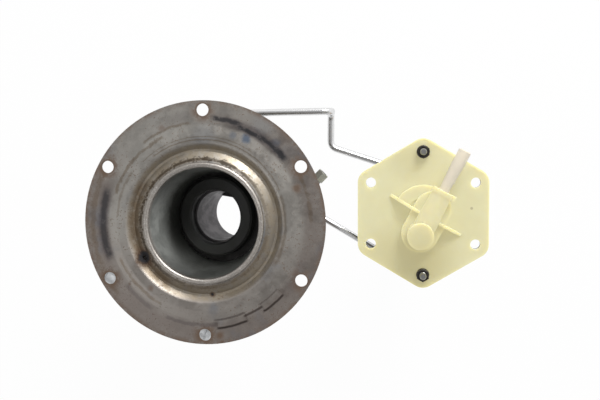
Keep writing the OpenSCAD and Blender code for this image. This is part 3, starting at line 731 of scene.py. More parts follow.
        # The pale arcs add painted sheen and the pad lines add painted shade along the pads' edges; the rest are
        # stains, film, rust and weld marks.
        for mask, shade in ((surface.times(outer, 0.75), self.patina), (surface.times(low, 0.35), self.patina),
                            (stains, self.blue), (ground.arcs(self.painted_sheen_arcs), self.pale),
                            (trough, self.tan), (film, self.film), (rust, self.brown), (groove, self.crevice),
                            (ground.arcs(self.blush_arcs), self.blush), (pad_shade_mask, self.painted_pad_shade),
                            (soot, self.soot)):
            colour = surface.mix(mask, colour, shade)
        surface.set("Base Color", colour)
        dull = surface.most(rust, pad_shade_mask, soot, groove)
        rough = surface.smooth(blotch, 0.0, 1.0, self.roughness, self.roughness + self.spread)
        rough = surface.plus(rough, surface.times(trough, 0.12))
        surface.set("Roughness", surface.plus(rough, surface.times(dull, 0.3)))
        surface.set("Metallic", surface.smooth(dull, 0.0, 1.0, self.metallic, self.dull_metallic))
        grain = surface.shared(GRAIN, Place=surface.place, Scale=self.grain_scale, Pits=self.pits)["Height"]
        drawn = surface.math(MathStep.SINE, surface.times(ground.radius, self.drawn_waves))
        surface.emboss(surface.plus(grain, surface.times(drawn, self.drawn_depth)), self.grain_depth)

    def trough_mask(self, ground: Ground) -> Socket:
        """Returns the mask of the tan film that collects in the trough.

        Args:
            ground: The flange's surface.

        Returns:
            The mask's socket.
        """
        surface = ground.surface
        inner, outer = self.trough
        inside = surface.times(surface.smooth(ground.radius, inner - 0.6, inner + 0.4),
                               surface.smooth(ground.radius, outer + 0.8, outer - 1.6))
        return ground.broken(inside, -0.4, 0.9, 0.25, 0.75)

    def groove(self, ground: Ground) -> Socket:
        """Returns the mask of the dark dotted line where the flange is rolled over the cup.

        Args:
            ground: The flange's surface.

        Returns:
            The mask's socket.
        """
        surface = ground.surface
        off = surface.math(MathStep.ABSOLUTE, surface.minus(ground.radius, self.seam))
        band = ground.broken(surface.smooth(off, 1.2, 0.3), 0.0, 0.5, 0.45, 1.0)
        beads = surface.times(surface.smooth(off, 2.4, 0.8),
                              surface.smooth(surface.noise(surface.place, 700.0, 2.0), 0.52, 0.62))
        toward = surface.math(MathStep.COSINE, surface.times(surface.minus(ground.angle, self.worst), DEGREE))
        return surface.times(surface.most(band, beads), surface.smooth(toward, -0.9, 0.7, 0.35, 1.0))

    def rust(self, ground: Ground) -> Socket:
        """Returns the mask of rust on the rim, round the holes and in specks.

        Args:
            ground: The flange's surface.

        Returns:
            The mask's socket.
        """
        surface = ground.surface
        rim = ground.broken(surface.smooth(ground.radius, *self.rust_rim), 0.1, 0.8, 0.1, 0.8)
        near = surface.shared(HOLE_CIRCLE, Radius=ground.radius, Angle=ground.angle,
                              Circle=self.hole_circle)["Distance"]
        halo = ground.broken(surface.smooth(near, *self.halo), -0.1, 0.6, 0.0, 0.85)
        edge = surface.smooth(near, *self.hole_edge, 0.0, 0.85)
        specks = surface.times(surface.smooth(surface.noise(surface.place, 900.0, 3.0), 0.58, 0.68),
                               surface.smooth(surface.noise(surface.place, 55.0, 2.0), 0.42, 0.6, 0.1, 0.7))
        return surface.most(rim, halo, edge, specks, ground.dots(self.rust_dots))


@dataclass(frozen=True)
class CupSteel(Finish):
    """Steel of the neck cup: greenish inside, warmer and stained on the rolled lip, with painted glints on the
    lip.
    """

    lip: Colour = (0.40, 0.368, 0.335)
    stain: Colour = (0.07, 0.05, 0.028)
    # Colour and scale of the painted glints: bright specks of light on the lip
    painted_glint: Colour = (0.62, 0.60, 0.57)
    lip_levels: Span = (-1.5, 2.0)
    seam: Span = (32.1, 33.2)
    shred_scale: float = 260.0
    painted_glint_scale: float = 1400.0

    def tint(self, surface: Surface, colour: Socket) -> Socket:
        """Adds the lip's warmth, its painted glints and the stain at its edge.

        Args:
            surface: The material's surface.
            colour: The colour so far.

        Returns:
            The new colour's socket.
        """
        shreds = surface.blotches(self.shred_scale)
        on_lip = surface.smooth(surface.height(), *self.lip_levels)
        colour = surface.mix(on_lip, colour, self.lip)
        painted_glints = surface.smooth(surface.noise(surface.place, self.painted_glint_scale, 2.0), 0.52, 0.64, 0.0, 0.7)
        colour = surface.mix(surface.times(on_lip, painted_glints), colour, self.painted_glint)
        radius = surface.shared(POLAR, Place=surface.place)["Radius"]
        edge = surface.times(surface.smooth(radius, *self.seam), surface.smooth(shreds, 0.1, 0.7, 0.0, 0.8))
        return surface.mix(edge, colour, self.stain)


@dataclass(frozen=True)
class Nylon(Finish):
    """Pale yellow moulded nylon with spots of painted shade and one speck."""

    speck: Dot = Dot(139.6, 8.8, 0.5, 0.9, 0.75)
    speck_colour: Colour = (0.10, 0.06, 0.02)
    # Colour and spots of painted shade, darkest below the riser
    shade: Colour = (0.23, 0.20, 0.09)
    shades: tuple[Dot, ...] = (Dot(115.0, -18.0, 2.0, 24.0, 0.75), Dot(95.0, -13.0, 1.0, 17.0, 0.4),
                               Dot(106.0, 33.0, 1.0, 14.0, 0.3))

    def tint(self, surface: Surface, colour: Socket) -> Socket:
        """Adds the spots of painted shade and the speck.

        Args:
            surface: The material's surface.
            colour: The colour so far.

        Returns:
            The new colour's socket.
        """
        for dot in (*self.shades, self.speck):
            shade_and_speck = surface.smooth(surface.away(dot.x, dot.y), dot.edge, dot.clear, 0.0, dot.weight)
            colour = surface.mix(shade_and_speck, colour, self.speck_colour if dot is self.speck else self.shade)
        return colour


@dataclass(frozen=True)
class WovenMesh(Finish):
    """Fine woven screen."""

    thread_mm: float = 0.9
    thread_depth: float = 0.15

    def paint(self, surface: Surface) -> None:
        """Feeds the shader's colour, roughness and normal with crossing threads.

        Args:
            surface: The material's surface.
        """
        super().paint(surface)
        waves = [surface.math(MathStep.SINE, surface.times(axis, 2 * math.pi / (self.thread_mm * MM)))
                 for axis in surface.axes(surface.place)]
        cross = surface.most(waves[2], surface.times(waves[0], waves[1]))
        surface.set("Base Color", surface.mix(surface.smooth(cross, -0.2, 0.4), self.accent, self.colour))
        surface.emboss(cross, self.thread_depth)


FINISHES: tuple[Finish, ...] = (
    PressedSteel("Pressed steel", (0.285, 0.265, 0.242), (0.365, 0.345, 0.318), metallic=0.9, roughness=0.34,
                 spread=0.16, blotch_scale=55.0, grain_scale=900.0, pits=0.8),
    CupSteel("Cup steel", (0.40, 0.413, 0.385), (0.32, 0.33, 0.31), metallic=0.95, roughness=0.34, spread=0.14,
             blotch_scale=70.0, pits=0.3),
    # The cup floor's near-black is painted shade: it stands in for the deep shadow at the bottom of the cup.
    Finish("Cup floor", (0.035, 0.033, 0.033), (0.022, 0.02, 0.02), metallic=0.5, roughness=0.5, spread=0.15,
           blotch_scale=90.0, pits=0.3),
    Finish("Spout steel", (0.125, 0.115, 0.12), (0.09, 0.085, 0.088), metallic=0.7, roughness=0.42, spread=0.15,
           blotch_scale=90.0, pits=0.3),
    Finish("Welded steel", (0.36, 0.35, 0.33), (0.26, 0.24, 0.22), metallic=0.9, roughness=0.42, spread=0.2,
           blotch_scale=140.0, pits=0.5),
    Finish("Rusty steel", (0.085, 0.05, 0.032), (0.035, 0.022, 0.016), metallic=0.3, roughness=0.6, spread=0.2,
           blotch_scale=300.0, pits=0.6, grain_depth=0.05),
    Finish("Passivated nut", (0.62, 0.62, 0.56), (0.46, 0.46, 0.39), metallic=0.95, roughness=0.22),
    Finish("Bright wire", (0.79, 0.79, 0.79), (0.72, 0.72, 0.72), metallic=1.0, roughness=0.22, spread=0.06,
           blotch_scale=50.0, grain_depth=0.002),
    Finish("Zinc sheet", (0.58, 0.58, 0.57), (0.46, 0.47, 0.47), metallic=0.95, roughness=0.34, spread=0.14,
           blotch_scale=150.0),
    Finish("Zinc fastener", (0.60, 0.60, 0.60), (0.48, 0.48, 0.46), metallic=0.95, roughness=0.3,
           blotch_scale=300.0),
    Finish("Stud steel", (0.36, 0.36, 0.35), (0.24, 0.24, 0.23), metallic=0.95, roughness=0.3,
           blotch_scale=300.0),
    Finish("Dark fastener", (0.035, 0.033, 0.031), (0.07, 0.065, 0.06), metallic=0.8, roughness=0.32,
           blotch_scale=500.0, pits=0.3),
    Finish("Black rubber", (0.011, 0.011, 0.011), (0.02, 0.02, 0.018), roughness=0.55, spread=0.15,
           blotch_scale=120.0),
    # The nylon's emission is painted light: a warm glow that lifts its shaded parts, standing in for light
    # shining through it.
    Nylon("Yellow nylon", (0.42, 0.41, 0.285), (0.40, 0.38, 0.245), roughness=0.34, spread=0.08,
          blotch_scale=28.0, grain_scale=700.0, grain_depth=0.012,
          uniform=(("Subsurface Weight", 0.85), ("Subsurface Radius", (1.0, 0.8, 0.35)),
                   ("Subsurface Scale", 9.0 * MM), ("Emission Color", (0.96, 0.88, 0.49)),
                   ("Emission Strength", 0.35), ("IOR", 1.5))),
    Finish("Clear tube", (0.89, 0.82, 0.68), (0.86, 0.79, 0.65), roughness=0.28, spread=0.06,
           uniform=(("Transmission Weight", 0.3), ("IOR", 1.4))),
    Finish("Black plastic", (0.022, 0.022, 0.023), (0.035, 0.035, 0.035), roughness=0.42, blotch_scale=90.0),
    Finish("Cover board", (0.30, 0.19, 0.085), (0.22, 0.13, 0.055), roughness=0.5, blotch_scale=180.0,
           grain_depth=0.03),
    Finish("Brass", (0.72, 0.53, 0.22), (0.58, 0.40, 0.16), metallic=1.0, roughness=0.28, blotch_scale=260.0),
    Finish("Winding wire", (0.60, 0.42, 0.28), (0.44, 0.30, 0.2), metallic=1.0, roughness=0.3,
           blotch_scale=400.0),
    Finish("Strainer plastic", (0.72, 0.70, 0.62), (0.66, 0.63, 0.54), roughness=0.45, blotch_scale=120.0),
    WovenMesh("Woven mesh", (0.62, 0.60, 0.52), (0.20, 0.19, 0.16), roughness=0.5, blotch_scale=200.0),
    Finish("Float metal", (0.60, 0.61, 0.62), (0.50, 0.51, 0.52), metallic=0.95, roughness=0.3, spread=0.15,
           blotch_scale=80.0, grain_depth=0.01),
    Finish("Weld bead", (0.26, 0.25, 0.24), (0.13, 0.11, 0.10), metallic=0.85, roughness=0.4, spread=0.2,
           blotch_scale=420.0, pits=0.6, grain_depth=0.05),
)


@dataclass
class Wardrobe:
    """All finishes by name, made into materials when they are first used."""

    effects: Effects = field(default_factory=Effects)
    made: dict[str, bpy.types.Material] = field(default_factory=dict)

    def get(self, name: str) -> bpy.types.Material:
        """Returns the material of a finish.

        Args:
            name: The finish's name.

        Returns:
            Its material.
        """
        if name not in self.made:
            finish = next(item for item in FINISHES if item.name == name)
            self.made[name] = finish.material(self.effects)
        return self.made[name]

    def dress(self, finish: str, nodes: Iterable[str]) -> None:
        """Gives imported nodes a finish.

        Args:
            finish: The finish's name.
            nodes: Names of the nodes.
        """
        for node in nodes:
            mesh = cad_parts[node].data
            mesh.materials.clear()
            mesh.materials.append(self.get(finish))


def settle(mesh: Mesh, name: str, body: Body, material: bpy.types.Material,
           crease: float = 40.0) -> bpy.types.Object:
    """Turns mesh data in the part's frame into a piece that rides on a body.

    Args:
        mesh: The geometry in metres.
        name: The piece's name.
        body: The body that carries it.
        material: Its finish.
        crease: Faces that meet at less than this many degrees are shaded as one.

    Returns:
        The new object.
    """
    bmesh.ops.recalc_face_normals(mesh, faces=mesh.faces)
    data = bpy.data.meshes.new(name)
    mesh.to_mesh(data)
    mesh.free()
    data.materials.append(material)
    data.shade_smooth()
    data.set_sharp_from_angle(angle=math.radians(crease))
    piece = bpy.data.objects.new(name, data)
    bpy.context.scene.collection.objects.link(piece)
    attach(piece, body.value)
    return piece


def skin(mesh: Mesh, rows: Sequence[Sequence[bmesh.types.BMVert]], closed: bool) -> None:
    """Joins rows of points into a tube.

    Args:
        mesh: The mesh that holds the points.
        rows: The rows, each a ring of as many points.
        closed: Whether the last row joins the first; otherwise both ends are capped.
    """
    for low, high in list(zip(rows, rows[1:])) + ([(rows[-1], rows[0])] if closed else []):
        for k in range(len(low)):
            after = (k + 1) % len(low)
            mesh.faces.new((low[k], low[after], high[after], high[k]))
    if not closed:
        mesh.faces.new(rows[0])
        mesh.faces.new(rows[-1])


def turned(mesh: Mesh, rings: Sequence[Ring], frame_of: Matrix, steps: int = 48, closed: bool = False) -> None:
    """Adds a turned form whose rings may vary round the axis.

    Args:
        mesh: The mesh to add to.
        rings: For each ring, a function from the angle to radius and height in millimetres.
        frame_of: The form's frame in metres; its axis is Z.
        steps: Points in a ring.
        closed: Whether the last ring joins the first, as in a tube with a bore.
    """
    rows = []
    for ring in rings:
        row = []
        for angle in (2 * math.pi * k / steps for k in range(steps)):
            radius, height = ring(angle)
            spot = Vector((radius * math.cos(angle), radius * math.sin(angle), height)) * MM
            row.append(mesh.verts.new(frame_of @ spot))
        rows.append(row)
    skin(mesh, rows, closed)


def plain(radius: float, height: float) -> Ring:
    """Returns a round ring of fixed radius and height."""
    return lambda angle: (radius, height)


def hexagon_radius(af: float, angle: float) -> float:
    """Returns the distance to a hexagon's side in one direction, with a corner at angle 0."""
    return af / 2 / math.cos((angle % (math.pi / 3)) - math.pi / 6)


def chamfered(af: float, low: float, high: float, bore: float = 0.0) -> list[Ring]:
    """Returns the rings of a hexagonal nut or bolt head with rounded-off corners.

    Args:
        af: Width across flats.
        low: Height of its lower face.
        high: Height of its upper face.
        bore: Radius of the threaded hole, or 0 for a bolt head.

    Returns:
        The rings from the bore round the outside and back to the bore.
    """
    flat, lead, slope = af / 2 * 0.97, 0.35, 0.5

    def drop(angle: float) -> float:
        """Returns how far the chamfer has cut into a corner."""
        return (hexagon_radius(af, angle) - flat) * slope

    rings: list[Ring] = [plain(flat, low), lambda angle: (hexagon_radius(af, angle), low + drop(angle)),
                         lambda angle: (hexagon_radius(af, angle), high - drop(angle)), plain(flat, high)]
    if not bore:
        return rings
    return [plain(bore + lead, low), *rings, plain(bore + lead, high), plain(bore, high - lead),
            plain(bore, low + lead)]


def thread(radius: float, low: float, high: float, pitch: float, depth: float) -> list[Ring]:
    """Returns the rings of a threaded shank with a bevelled tip.

    Args:
        radius: Outside radius of the thread.
        low: Height at which the thread starts.
        high: Height of the shank's tip.
        pitch: Height of one turn.
        depth: Depth of the groove.

    Returns:
        The rings from low to high.
    """
    tip, bevel = 0.6, 0.45
    turns = int((high - low - tip) / pitch)
    profile = ((0.1, 0.0), (0.25, 0.0), (0.6, depth), (0.7, depth))
    rings = [plain(radius - cut, low + (k + share) * pitch) for k in range(turns) for share, cut in profile]
    return rings + [plain(radius, low + turns * pitch + 0.05), plain(radius - bevel, high)]


def bead(mesh: Mesh, path: Sequence[Vector], radius: float, ripple_mm: float, closed: bool) -> None:
    """Adds a weld bead along a path.

    Args:
        mesh: The mesh to add to.
        path: Points of the bead's middle in metres.
        radius: The bead's radius in millimetres.
        ripple_mm: Spacing of its ripples.
        closed: Whether the path is a loop.
    """
    sides, ripple, wander, end_share, taper = 8, 0.12, 0.08, 0.35, 3
    rows, run, count = [], 0.0, len(path)
    for k, spot in enumerate(path):
        before = path[(k - 1) % count] if closed or k else spot
        after = path[(k + 1) % count] if closed or k < count - 1 else spot
        along = (after - before).normalized()
        side = along.orthogonal() if abs(along.z) > 0.9 else along.cross(Vector((0, 0, 1)))
        side = side.normalized()
        up = side.cross(along)
        run += (spot - path[k - 1]).length / MM if k else 0.0
        swell = 1 + ripple * math.sin(2 * math.pi * run / ripple_mm) + wander * math.sin(1.7 * run + 0.4)
        if not closed:
            swell *= min(1.0, end_share + (1 - end_share) * min(k, count - 1 - k) / taper)
        rows.append([mesh.verts.new(spot + (side * math.cos(a) + up * math.sin(a)) * radius * swell * MM)
                     for a in (2 * math.pi * s / sides for s in range(sides))])
    skin(mesh, rows, closed)


def arc_path(radius: float, height: float, start: float, sweep: float, frame_of: Matrix,
             step: float = 1.0) -> list[Vector]:
    """Returns points along part of a circle.

    Args:
        radius: The circle's radius in millimetres.
        height: Its height in the frame.
        start: First direction in degrees.
        sweep: Angle covered in degrees.
        frame_of: The circle's frame.
        step: Distance between points in degrees.

    Returns:
        The points in metres.
    """
    count = max(2, int(abs(sweep) / step))
    angles = (math.radians(start + sweep * k / count) for k in range(count + 1))
    return [frame_of @ (Vector((radius * math.cos(a), radius * math.sin(a), height)) * MM) for a in angles]


def loop_path(radius: float, height: float, frame_of: Matrix) -> list[Vector]:
    """Returns the points of a closed circle, in metres."""
    return arc_path(radius, height, 0, LOOP_SWEEP, frame_of, LOOP_STEP)


@dataclass(frozen=True)
class Extent:
    """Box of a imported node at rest, in millimetres."""

    low: Vector
    high: Vector

    @classmethod
    def of(cls, node: str) -> "Extent":
        """Returns the box of a node."""
        low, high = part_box(node)
        return cls(Vector(low) / MM, Vector(high) / MM)

    @property
    def middle(self) -> Vector:
        """The box's centre."""
        return (self.low + self.high) / 2

    @property
    def size(self) -> Vector:
        """The box's lengths along X, Y and Z."""
        return self.high - self.low


def lying_frame(middle: Vector, heading: float) -> Matrix:
    """Returns a frame whose Z axis lies level.

    Args:
        middle: The frame's origin in millimetres.
        heading: Direction of its Z axis in degrees from the part's X axis.

    Returns:
        The frame in metres.
    """
    return (Matrix.Translation(middle * MM) @ Matrix.Rotation(math.radians(heading), 4, "Z")
            @ Matrix.Rotation(math.pi / 2, 4, "Y"))


@dataclass
class Assembly:
    """A group of nodes with their finishes, and pieces of its own where it needs them."""

    finishes: dict[str, str] = field(default_factory=dict)

    def build(self, wardrobe: Wardrobe) -> None:
        """Builds the assembly's own pieces; a plain assembly has none."""

    def dress(self, wardrobe: Wardrobe) -> None:
        """Gives the assembly's nodes their finishes.

        Args:
            wardrobe: The finishes.
        """
        for finish, nodes in self.finishes.items():
            wardrobe.dress(finish, nodes.split())


@dataclass
class FillerNeck(Assembly):
    """Round flange, neck cup, spout and the pieces welded under them."""

    finishes: dict[str, str] = field(default_factory=lambda: {
        "Pressed steel": "filler_flange", "Cup steel": "neck_cup", "Cup floor": "cup_floor",
        "Spout steel": "spout_tube", "Black rubber": "spout_ring", "Rusty steel": "drain_nipple",
        "Welded steel": "locator_tab_a locator_tab_b locator_tab_c"})
    floor_centre: Vector = field(default_factory=lambda: Vector((0.5, 0.7, -38.6)))
    floor_tilt: float = 14.0
    collar_radius: float = 19.4
    skirt_radius: float = 54.6
    sheet: float = 1.2
    bead_radius: float = 0.7
    weld_gap: float = 0.2
    spout_ripple: float = 2.2
    skirt_ripple: float = 2.0
    skirt_end: float = 1.0
    skirts: tuple[Span, ...] = ((37, 44), (160, 41), (-83, 42))

    def build(self, wardrobe: Wardrobe) -> None:
        """Builds the weld beads round the spout and behind the skirts.

        Args:
            wardrobe: The finishes.
        """
        tilted = (Matrix.Translation(self.floor_centre * MM)
                  @ Matrix.Rotation(math.radians(-self.floor_tilt), 4, "Y"))
        collar = loop_path(self.collar_radius + self.weld_gap, -self.sheet, tilted)
        paths = {"spout_weld": (collar, self.spout_ripple, True)}
        for number, (start, sweep) in enumerate(self.skirts):
            inside = arc_path(self.skirt_radius, 0.0, start + self.skirt_end, sweep - 2 * self.skirt_end,
                              Matrix.Identity(4))
            paths[f"skirt_weld_{number + 1}"] = (inside, self.skirt_ripple, False)
        for name, (path, ripple, closed) in paths.items():
            mesh = bmesh.new()
            bead(mesh, path, self.bead_radius, ripple, closed)
            settle(mesh, name, Body.SENDER, wardrobe.get("Weld bead"))


@dataclass
class StayAndBreather(Assembly):
    """Straight stay rod with its saddles, tab and nuts, and the breather pipe."""

    finishes: dict[str, str] = field(default_factory=lambda: {
        "Bright wire": "stay_rod", "Welded steel": "stay_saddle_a stay_saddle_b vent_pipe",
        "Zinc sheet": "stay_tab"})
    heading: float = -30.5
    nut_height: float = 2.4
    rod_radius: float = 1.75
    thread_gap: float = 0.03
    vent_heading: float = 45.0
    vent_nut_length: float = 5.0
    vent_radius: float = 2.5

    def nut(self, wardrobe: Wardrobe, node: str, heading: float, length: float, bore: float,
            finish: str) -> None:
        """Replaces a plain lying nut with a chamfered one.

        Args:
            wardrobe: The finishes.
            node: The nut's node.
            heading: Direction of its axis in degrees.
            length: Its length along the axis.
            bore: Radius of its hole.
            finish: Its finish's name.
        """
        extent = Extent.of(node)
        mesh = bmesh.new()
        rings = chamfered(extent.size.z * math.cos(math.pi / 6), -length / 2, length / 2, bore)
        turned(mesh, rings, lying_frame(extent.middle, heading), closed=True)
        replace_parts(settle(mesh, f"{node}_cut", Body.SENDER, wardrobe.get(finish)), node)

    def build(self, wardrobe: Wardrobe) -> None:
        """Builds the chamfered nuts.

        Args:
            wardrobe: The finishes.
        """
        bore = self.rod_radius + self.thread_gap
        for node in ("stay_nut_a", "stay_nut_b"):
            self.nut(wardrobe, node, self.heading, self.nut_height, bore, "Zinc fastener")
        self.nut(wardrobe, "vent_nut", self.vent_heading, self.vent_nut_length, self.vent_radius,
                 "Passivated nut")


@dataclass
class HeadTop(Assembly):
    """Hexagonal moulding with its gasket, outlet tube, studs and nuts."""

    finishes: dict[str, str] = field(default_factory=lambda: {
        "Yellow nylon": "head_plate", "Clear tube": "outlet_tube", "Black rubber": "head_gasket",
        "Dark fastener": "stud_washer_a stud_washer_b"})
    stud_radius: float = 1.75
    stud_head: float = 2.8
    thread_gap: float = 0.03
    pitch: float = 0.6
    groove: float = 0.28

    def build(self, wardrobe: Wardrobe) -> None:
        """Builds the threaded studs and their nuts.

        Args:
            wardrobe: The finishes.
        """
        for letter in ("a", "b"):
            whole, nut = Extent.of(f"stud_{letter}"), Extent.of(f"stud_nut_{letter}")
            middle = Vector((nut.middle.x, nut.middle.y, 0))
            where = Matrix.Translation(middle * MM) @ Matrix.Rotation(math.pi / 2, 4, "Z")
            seat = whole.low.z + self.stud_head
            mesh = bmesh.new()
            turned(mesh, thread(self.stud_radius, seat, whole.high.z, self.pitch, self.groove), where, 32)
            turned(mesh, chamfered(whole.size.x, whole.low.z, seat), where)
            stud = settle(mesh, f"stud_{letter}_thread", Body.SENDER, wardrobe.get("Stud steel"))
            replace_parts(stud, f"stud_{letter}")
            mesh = bmesh.new()
            rings = chamfered(nut.size.x, nut.low.z, nut.high.z, self.stud_radius + self.thread_gap)
            turned(mesh, rings, where, closed=True)
            piece = settle(mesh, f"stud_nut_{letter}_cut", Body.SENDER, wardrobe.get("Dark fastener"))
            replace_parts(piece, f"stud_nut_{letter}")


@dataclass
class Rheostat(Assembly):
    """Bracket with the rheostat's case, card, winding, bush and tag."""

    finishes: dict[str, str] = field(default_factory=lambda: {
        "Zinc sheet": "sender_bracket", "Black plastic": "rheostat_case",
        "Cover board": "case_cover resistor_card", "Brass": "pivot_bush sender_tag",
        "Zinc fastener": "cover_screw_a cover_screw_b cover_screw_c cover_screw_d case_rivet_a case_rivet_b"})
    card_sheet: float = 1.2
    wire: float = 0.4
    winding: Span = (72.0, 108.0)
    turns: int = 30
    wire_share: float = 0.9
    wire_ripple: float = 50.0
    corner_shares: tuple[float, ...] = (0.03, 0.5, 0.97)

    def turn_path(self, card: Extent, pivot: Vector, angle: float) -> list[Vector]:
        """Returns the path of one turn of wire round the card.

        Args:
            card: The card's box.
            pivot: A point on the pivot's axis.
            angle: The turn's direction about the pivot in degrees.

        Returns:
            The points in metres.
        """
        outer = card.high.z - pivot.z + self.wire / 2
        inner = outer - self.card_sheet - self.wire
        low, high = card.low.y - self.wire / 2, card.high.y + self.wire / 2
        spin = math.radians(angle)
        corners = [Vector((pivot.x + radius * math.cos(spin), depth, pivot.z + radius * math.sin(spin))) * MM
                   for radius, depth in ((inner, low), (outer, low), (outer, high), (inner, high))]
        return [first.lerp(second, share) for first, second in zip(corners, corners[1:] + corners[:1])
                for share in self.corner_shares]

    def build(self, wardrobe: Wardrobe) -> None:
        """Builds the winding turn by turn.

        Args:
            wardrobe: The finishes.
        """
        card, pivot = Extent.of("resistor_card"), Extent.of("pivot_bush").middle
        start, end = self.winding
        mesh = bmesh.new()
        for k in range(self.turns):
            angle = start + k / (self.turns - 1) * (end - start)
            path = self.turn_path(card, pivot, angle)
            bead(mesh, path, self.wire / 2 * self.wire_share, self.wire_ripple, closed=True)
        winding = settle(mesh, "winding_turns", Body.SENDER, wardrobe.get("Winding wire"))
        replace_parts(winding, "resistor_winding")


@dataclass
class Pickup(Assembly):
    """Pickup tube with its clip and strainer."""

    finishes: dict[str, str] = field(default_factory=lambda: {
        "Zinc sheet": "dip_tube dip_clip", "Strainer plastic": "strainer_cage", "Woven mesh": "strainer_mesh"})


@dataclass
class FloatArm(Assembly):
    """Cranked wire arm with the wiper and its clips."""

    finishes: dict[str, str] = field(default_factory=lambda: {
        "Bright wire": "float_arm", "Brass": "wiper_hub wiper_blade",
        "Dark fastener": "shaft_clip float_clip_a float_clip_b"})


@dataclass
class Float(Assembly):
    """Hollow metal float with soldered seams."""

    finishes: dict[str, str] = field(default_factory=lambda: {
        "Float metal": "float_shell float_cap_a float_cap_b float_tube"})
    heading: float = -30.0
    radius: float = 10.2
    half: float = 36.0
    cap: float = 3.0
    solder: float = 0.3
    solder_ripple: float = 4.0

    def build(self, wardrobe: Wardrobe) -> None:
        """Builds the soldered joints between shell and caps.

        Args:
            wardrobe: The finishes.
        """
        lying = lying_frame(Extent.of("float_shell").middle, self.heading)
        for letter, side in (("a", -1), ("b", 1)):
            mesh = bmesh.new()
            ring = loop_path(self.radius, side * (self.half - self.cap), lying)
            bead(mesh, ring, self.solder, self.solder_ripple, closed=True)
            settle(mesh, f"float_solder_{letter}", Body.FLOAT, wardrobe.get("Float metal"))


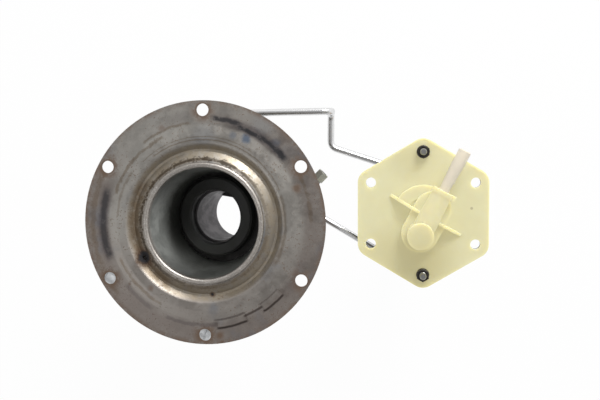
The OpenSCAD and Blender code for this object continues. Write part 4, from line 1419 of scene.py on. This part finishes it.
@dataclass
class Studio:
    """Floor, lights, world and camera: sizes in metres, but the sensor and the camera's place in millimetres."""

    floor_drop: float = 0.016
    floor_size: float = 4.0
    floor_grey: float = 0.8
    floor_glow: float = 0.96
    sensor: float = 36.0
    focal_widths: float = 850 / 600
    near_clip: float = 0.01
    eye: Vector = field(default_factory=lambda: Vector((100.07, 42.05, 442.15)))
    tilt: float = -3.825
    lean: float = 6.271
    roll: float = 0.17
    key_way: Span = (0.55, 0.84)
    room_near: float = 1.1
    room_far: float = 0.5
    room_top: float = 0.5
    side_reach: Span = (-0.9, 0.9)
    top_reach: Span = (0.2, 0.97)
    target: Sequence[float] = (0.04, 0.0, 0.0)
    lamps: tuple[tuple[str, Sequence[float], float, float], ...] = (
        ("key_light", (0.43, 0.84, 0.62), 0.45, 11.5), ("fill_light", (-0.6, -0.4, 0.7), 0.7, 1.5))

    def camera(self) -> None:
        """Places the camera above the part, as in the photograph."""
        data = bpy.data.cameras.new("camera")
        data.sensor_width = self.sensor
        data.lens = self.focal_widths * self.sensor
        data.clip_start = self.near_clip
        camera = bpy.data.objects.new("camera", data)
        camera.rotation_mode = "ZYX"
        camera.rotation_euler = Euler([math.radians(turn) for turn in (self.tilt, self.lean, self.roll)], "ZYX")
        camera.location = self.eye * MM
        bpy.context.scene.collection.objects.link(camera)
        bpy.context.scene.camera = camera

    def blend(self, graph: Graph, share: Feed, first: Socket, second: Socket, end: str) -> None:
        """Feeds a blend of two shaders to the output.

        Args:
            graph: The graph.
            share: Share of the second shader.
            first: The first shader.
            second: The second shader.
            end: The output node's type name.
        """
        mixed = graph.add("ShaderNodeMixShader")
        for target, source in zip(mixed.inputs, (share, first, second)):
            graph.feed(target, source)
        graph.feed(graph.add(end).inputs["Surface"], mixed.outputs[0])

    def floor(self) -> None:
        """Lays a pale floor under the part that shows white to the camera and keeps a faint shadow."""
        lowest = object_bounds()[0].z - self.floor_drop
        half = self.floor_size / 2
        mesh = bmesh.new()
        corners = ((-half, -half), (half, -half), (half, half), (-half, half))
        mesh.faces.new([mesh.verts.new((x, y, lowest)) for x, y in corners])
        data = bpy.data.meshes.new("floor")
        mesh.to_mesh(data)
        mesh.free()
        floor = bpy.data.objects.new("floor", data)
        bpy.context.scene.collection.objects.link(floor)
        floor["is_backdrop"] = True
        material = bpy.data.materials.new("Studio floor")
        material.use_nodes = True
        material.node_tree.nodes.clear()
        graph = Graph(material.node_tree)
        matt = graph.add("ShaderNodeBsdfDiffuse")
        graph.feed(matt.inputs["Color"], (self.floor_grey,) * 3)
        glow = graph.add("ShaderNodeEmission")
        path = graph.add("ShaderNodeLightPath").outputs
        seen = graph.most(path["Is Camera Ray"], path["Is Glossy Ray"], path["Is Transmission Ray"])
        self.blend(graph, graph.times(seen, self.floor_glow), matt.outputs[0], glow.outputs[0],
                   "ShaderNodeOutputMaterial")
        data.materials.append(material)

    def world(self) -> None:
        """Fills the room with soft light: grey overhead, brighter low down and on the key light's side."""
        world = bpy.data.worlds.new("room")
        bpy.context.scene.world = world
        world.use_nodes = True
        world.node_tree.nodes.clear()
        graph = Graph(world.node_tree)
        x, y, z = graph.axes(graph.add("ShaderNodeTexCoord").outputs["Generated"])
        toward = graph.plus(graph.times(x, self.key_way[0]), graph.times(y, self.key_way[1]))
        side = graph.smooth(toward, *self.side_reach, self.room_far, self.room_near)
        above = graph.smooth(z, *self.top_reach, 1.0, self.room_top)
        path = graph.add("ShaderNodeLightPath").outputs
        shown = graph.most(path["Is Camera Ray"], path["Is Transmission Ray"])
        sky, white = (graph.add("ShaderNodeBackground") for _ in range(2))
        for light in (sky, white):
            graph.feed(light.inputs["Color"], (1, 1, 1))
        graph.feed(sky.inputs["Strength"], graph.times(side, above))
        self.blend(graph, shown, sky.outputs[0], white.outputs[0], "ShaderNodeOutputWorld")

    def lamp(self, name: str, place: Sequence[float], size: float, power: float) -> None:
        """Adds a square soft light that faces the part.

        Args:
            name: The light's name.
            place: Where it hangs, in metres.
            size: Side of the square in metres.
            power: Power in watts.
        """
        data = bpy.data.lights.new(name, "AREA")
        data.shape = "SQUARE"
        data.size = size
        data.energy = power
        lamp = bpy.data.objects.new(name, data)
        lamp.location = place
        lamp.rotation_euler = (Vector(self.target) - Vector(place)).to_track_quat("-Z", "Y").to_euler()
        bpy.context.scene.collection.objects.link(lamp)

    def build(self) -> None:
        """Sets up floor, world, lights, camera and the plain view."""
        self.camera()
        self.floor()
        self.world()
        for lamp in self.lamps:
            self.lamp(*lamp)
        bpy.context.scene.view_settings.view_transform = "Standard"


def main() -> None:
    """Dresses the part, adds its fine pieces and sets up the studio."""
    logging.basicConfig(level=logging.INFO, format="%(name)s: %(message)s")
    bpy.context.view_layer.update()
    wardrobe = Wardrobe()
    for assembly in (FillerNeck(), StayAndBreather(), HeadTop(), Rheostat(), Pickup(), FloatArm(), Float()):
        assembly.dress(wardrobe)
        assembly.build(wardrobe)
        LOG.info("%s is ready", type(assembly).__name__)
    Studio().build()
    LOG.info("Studio is ready")


if __name__ == "__main__":
    main()
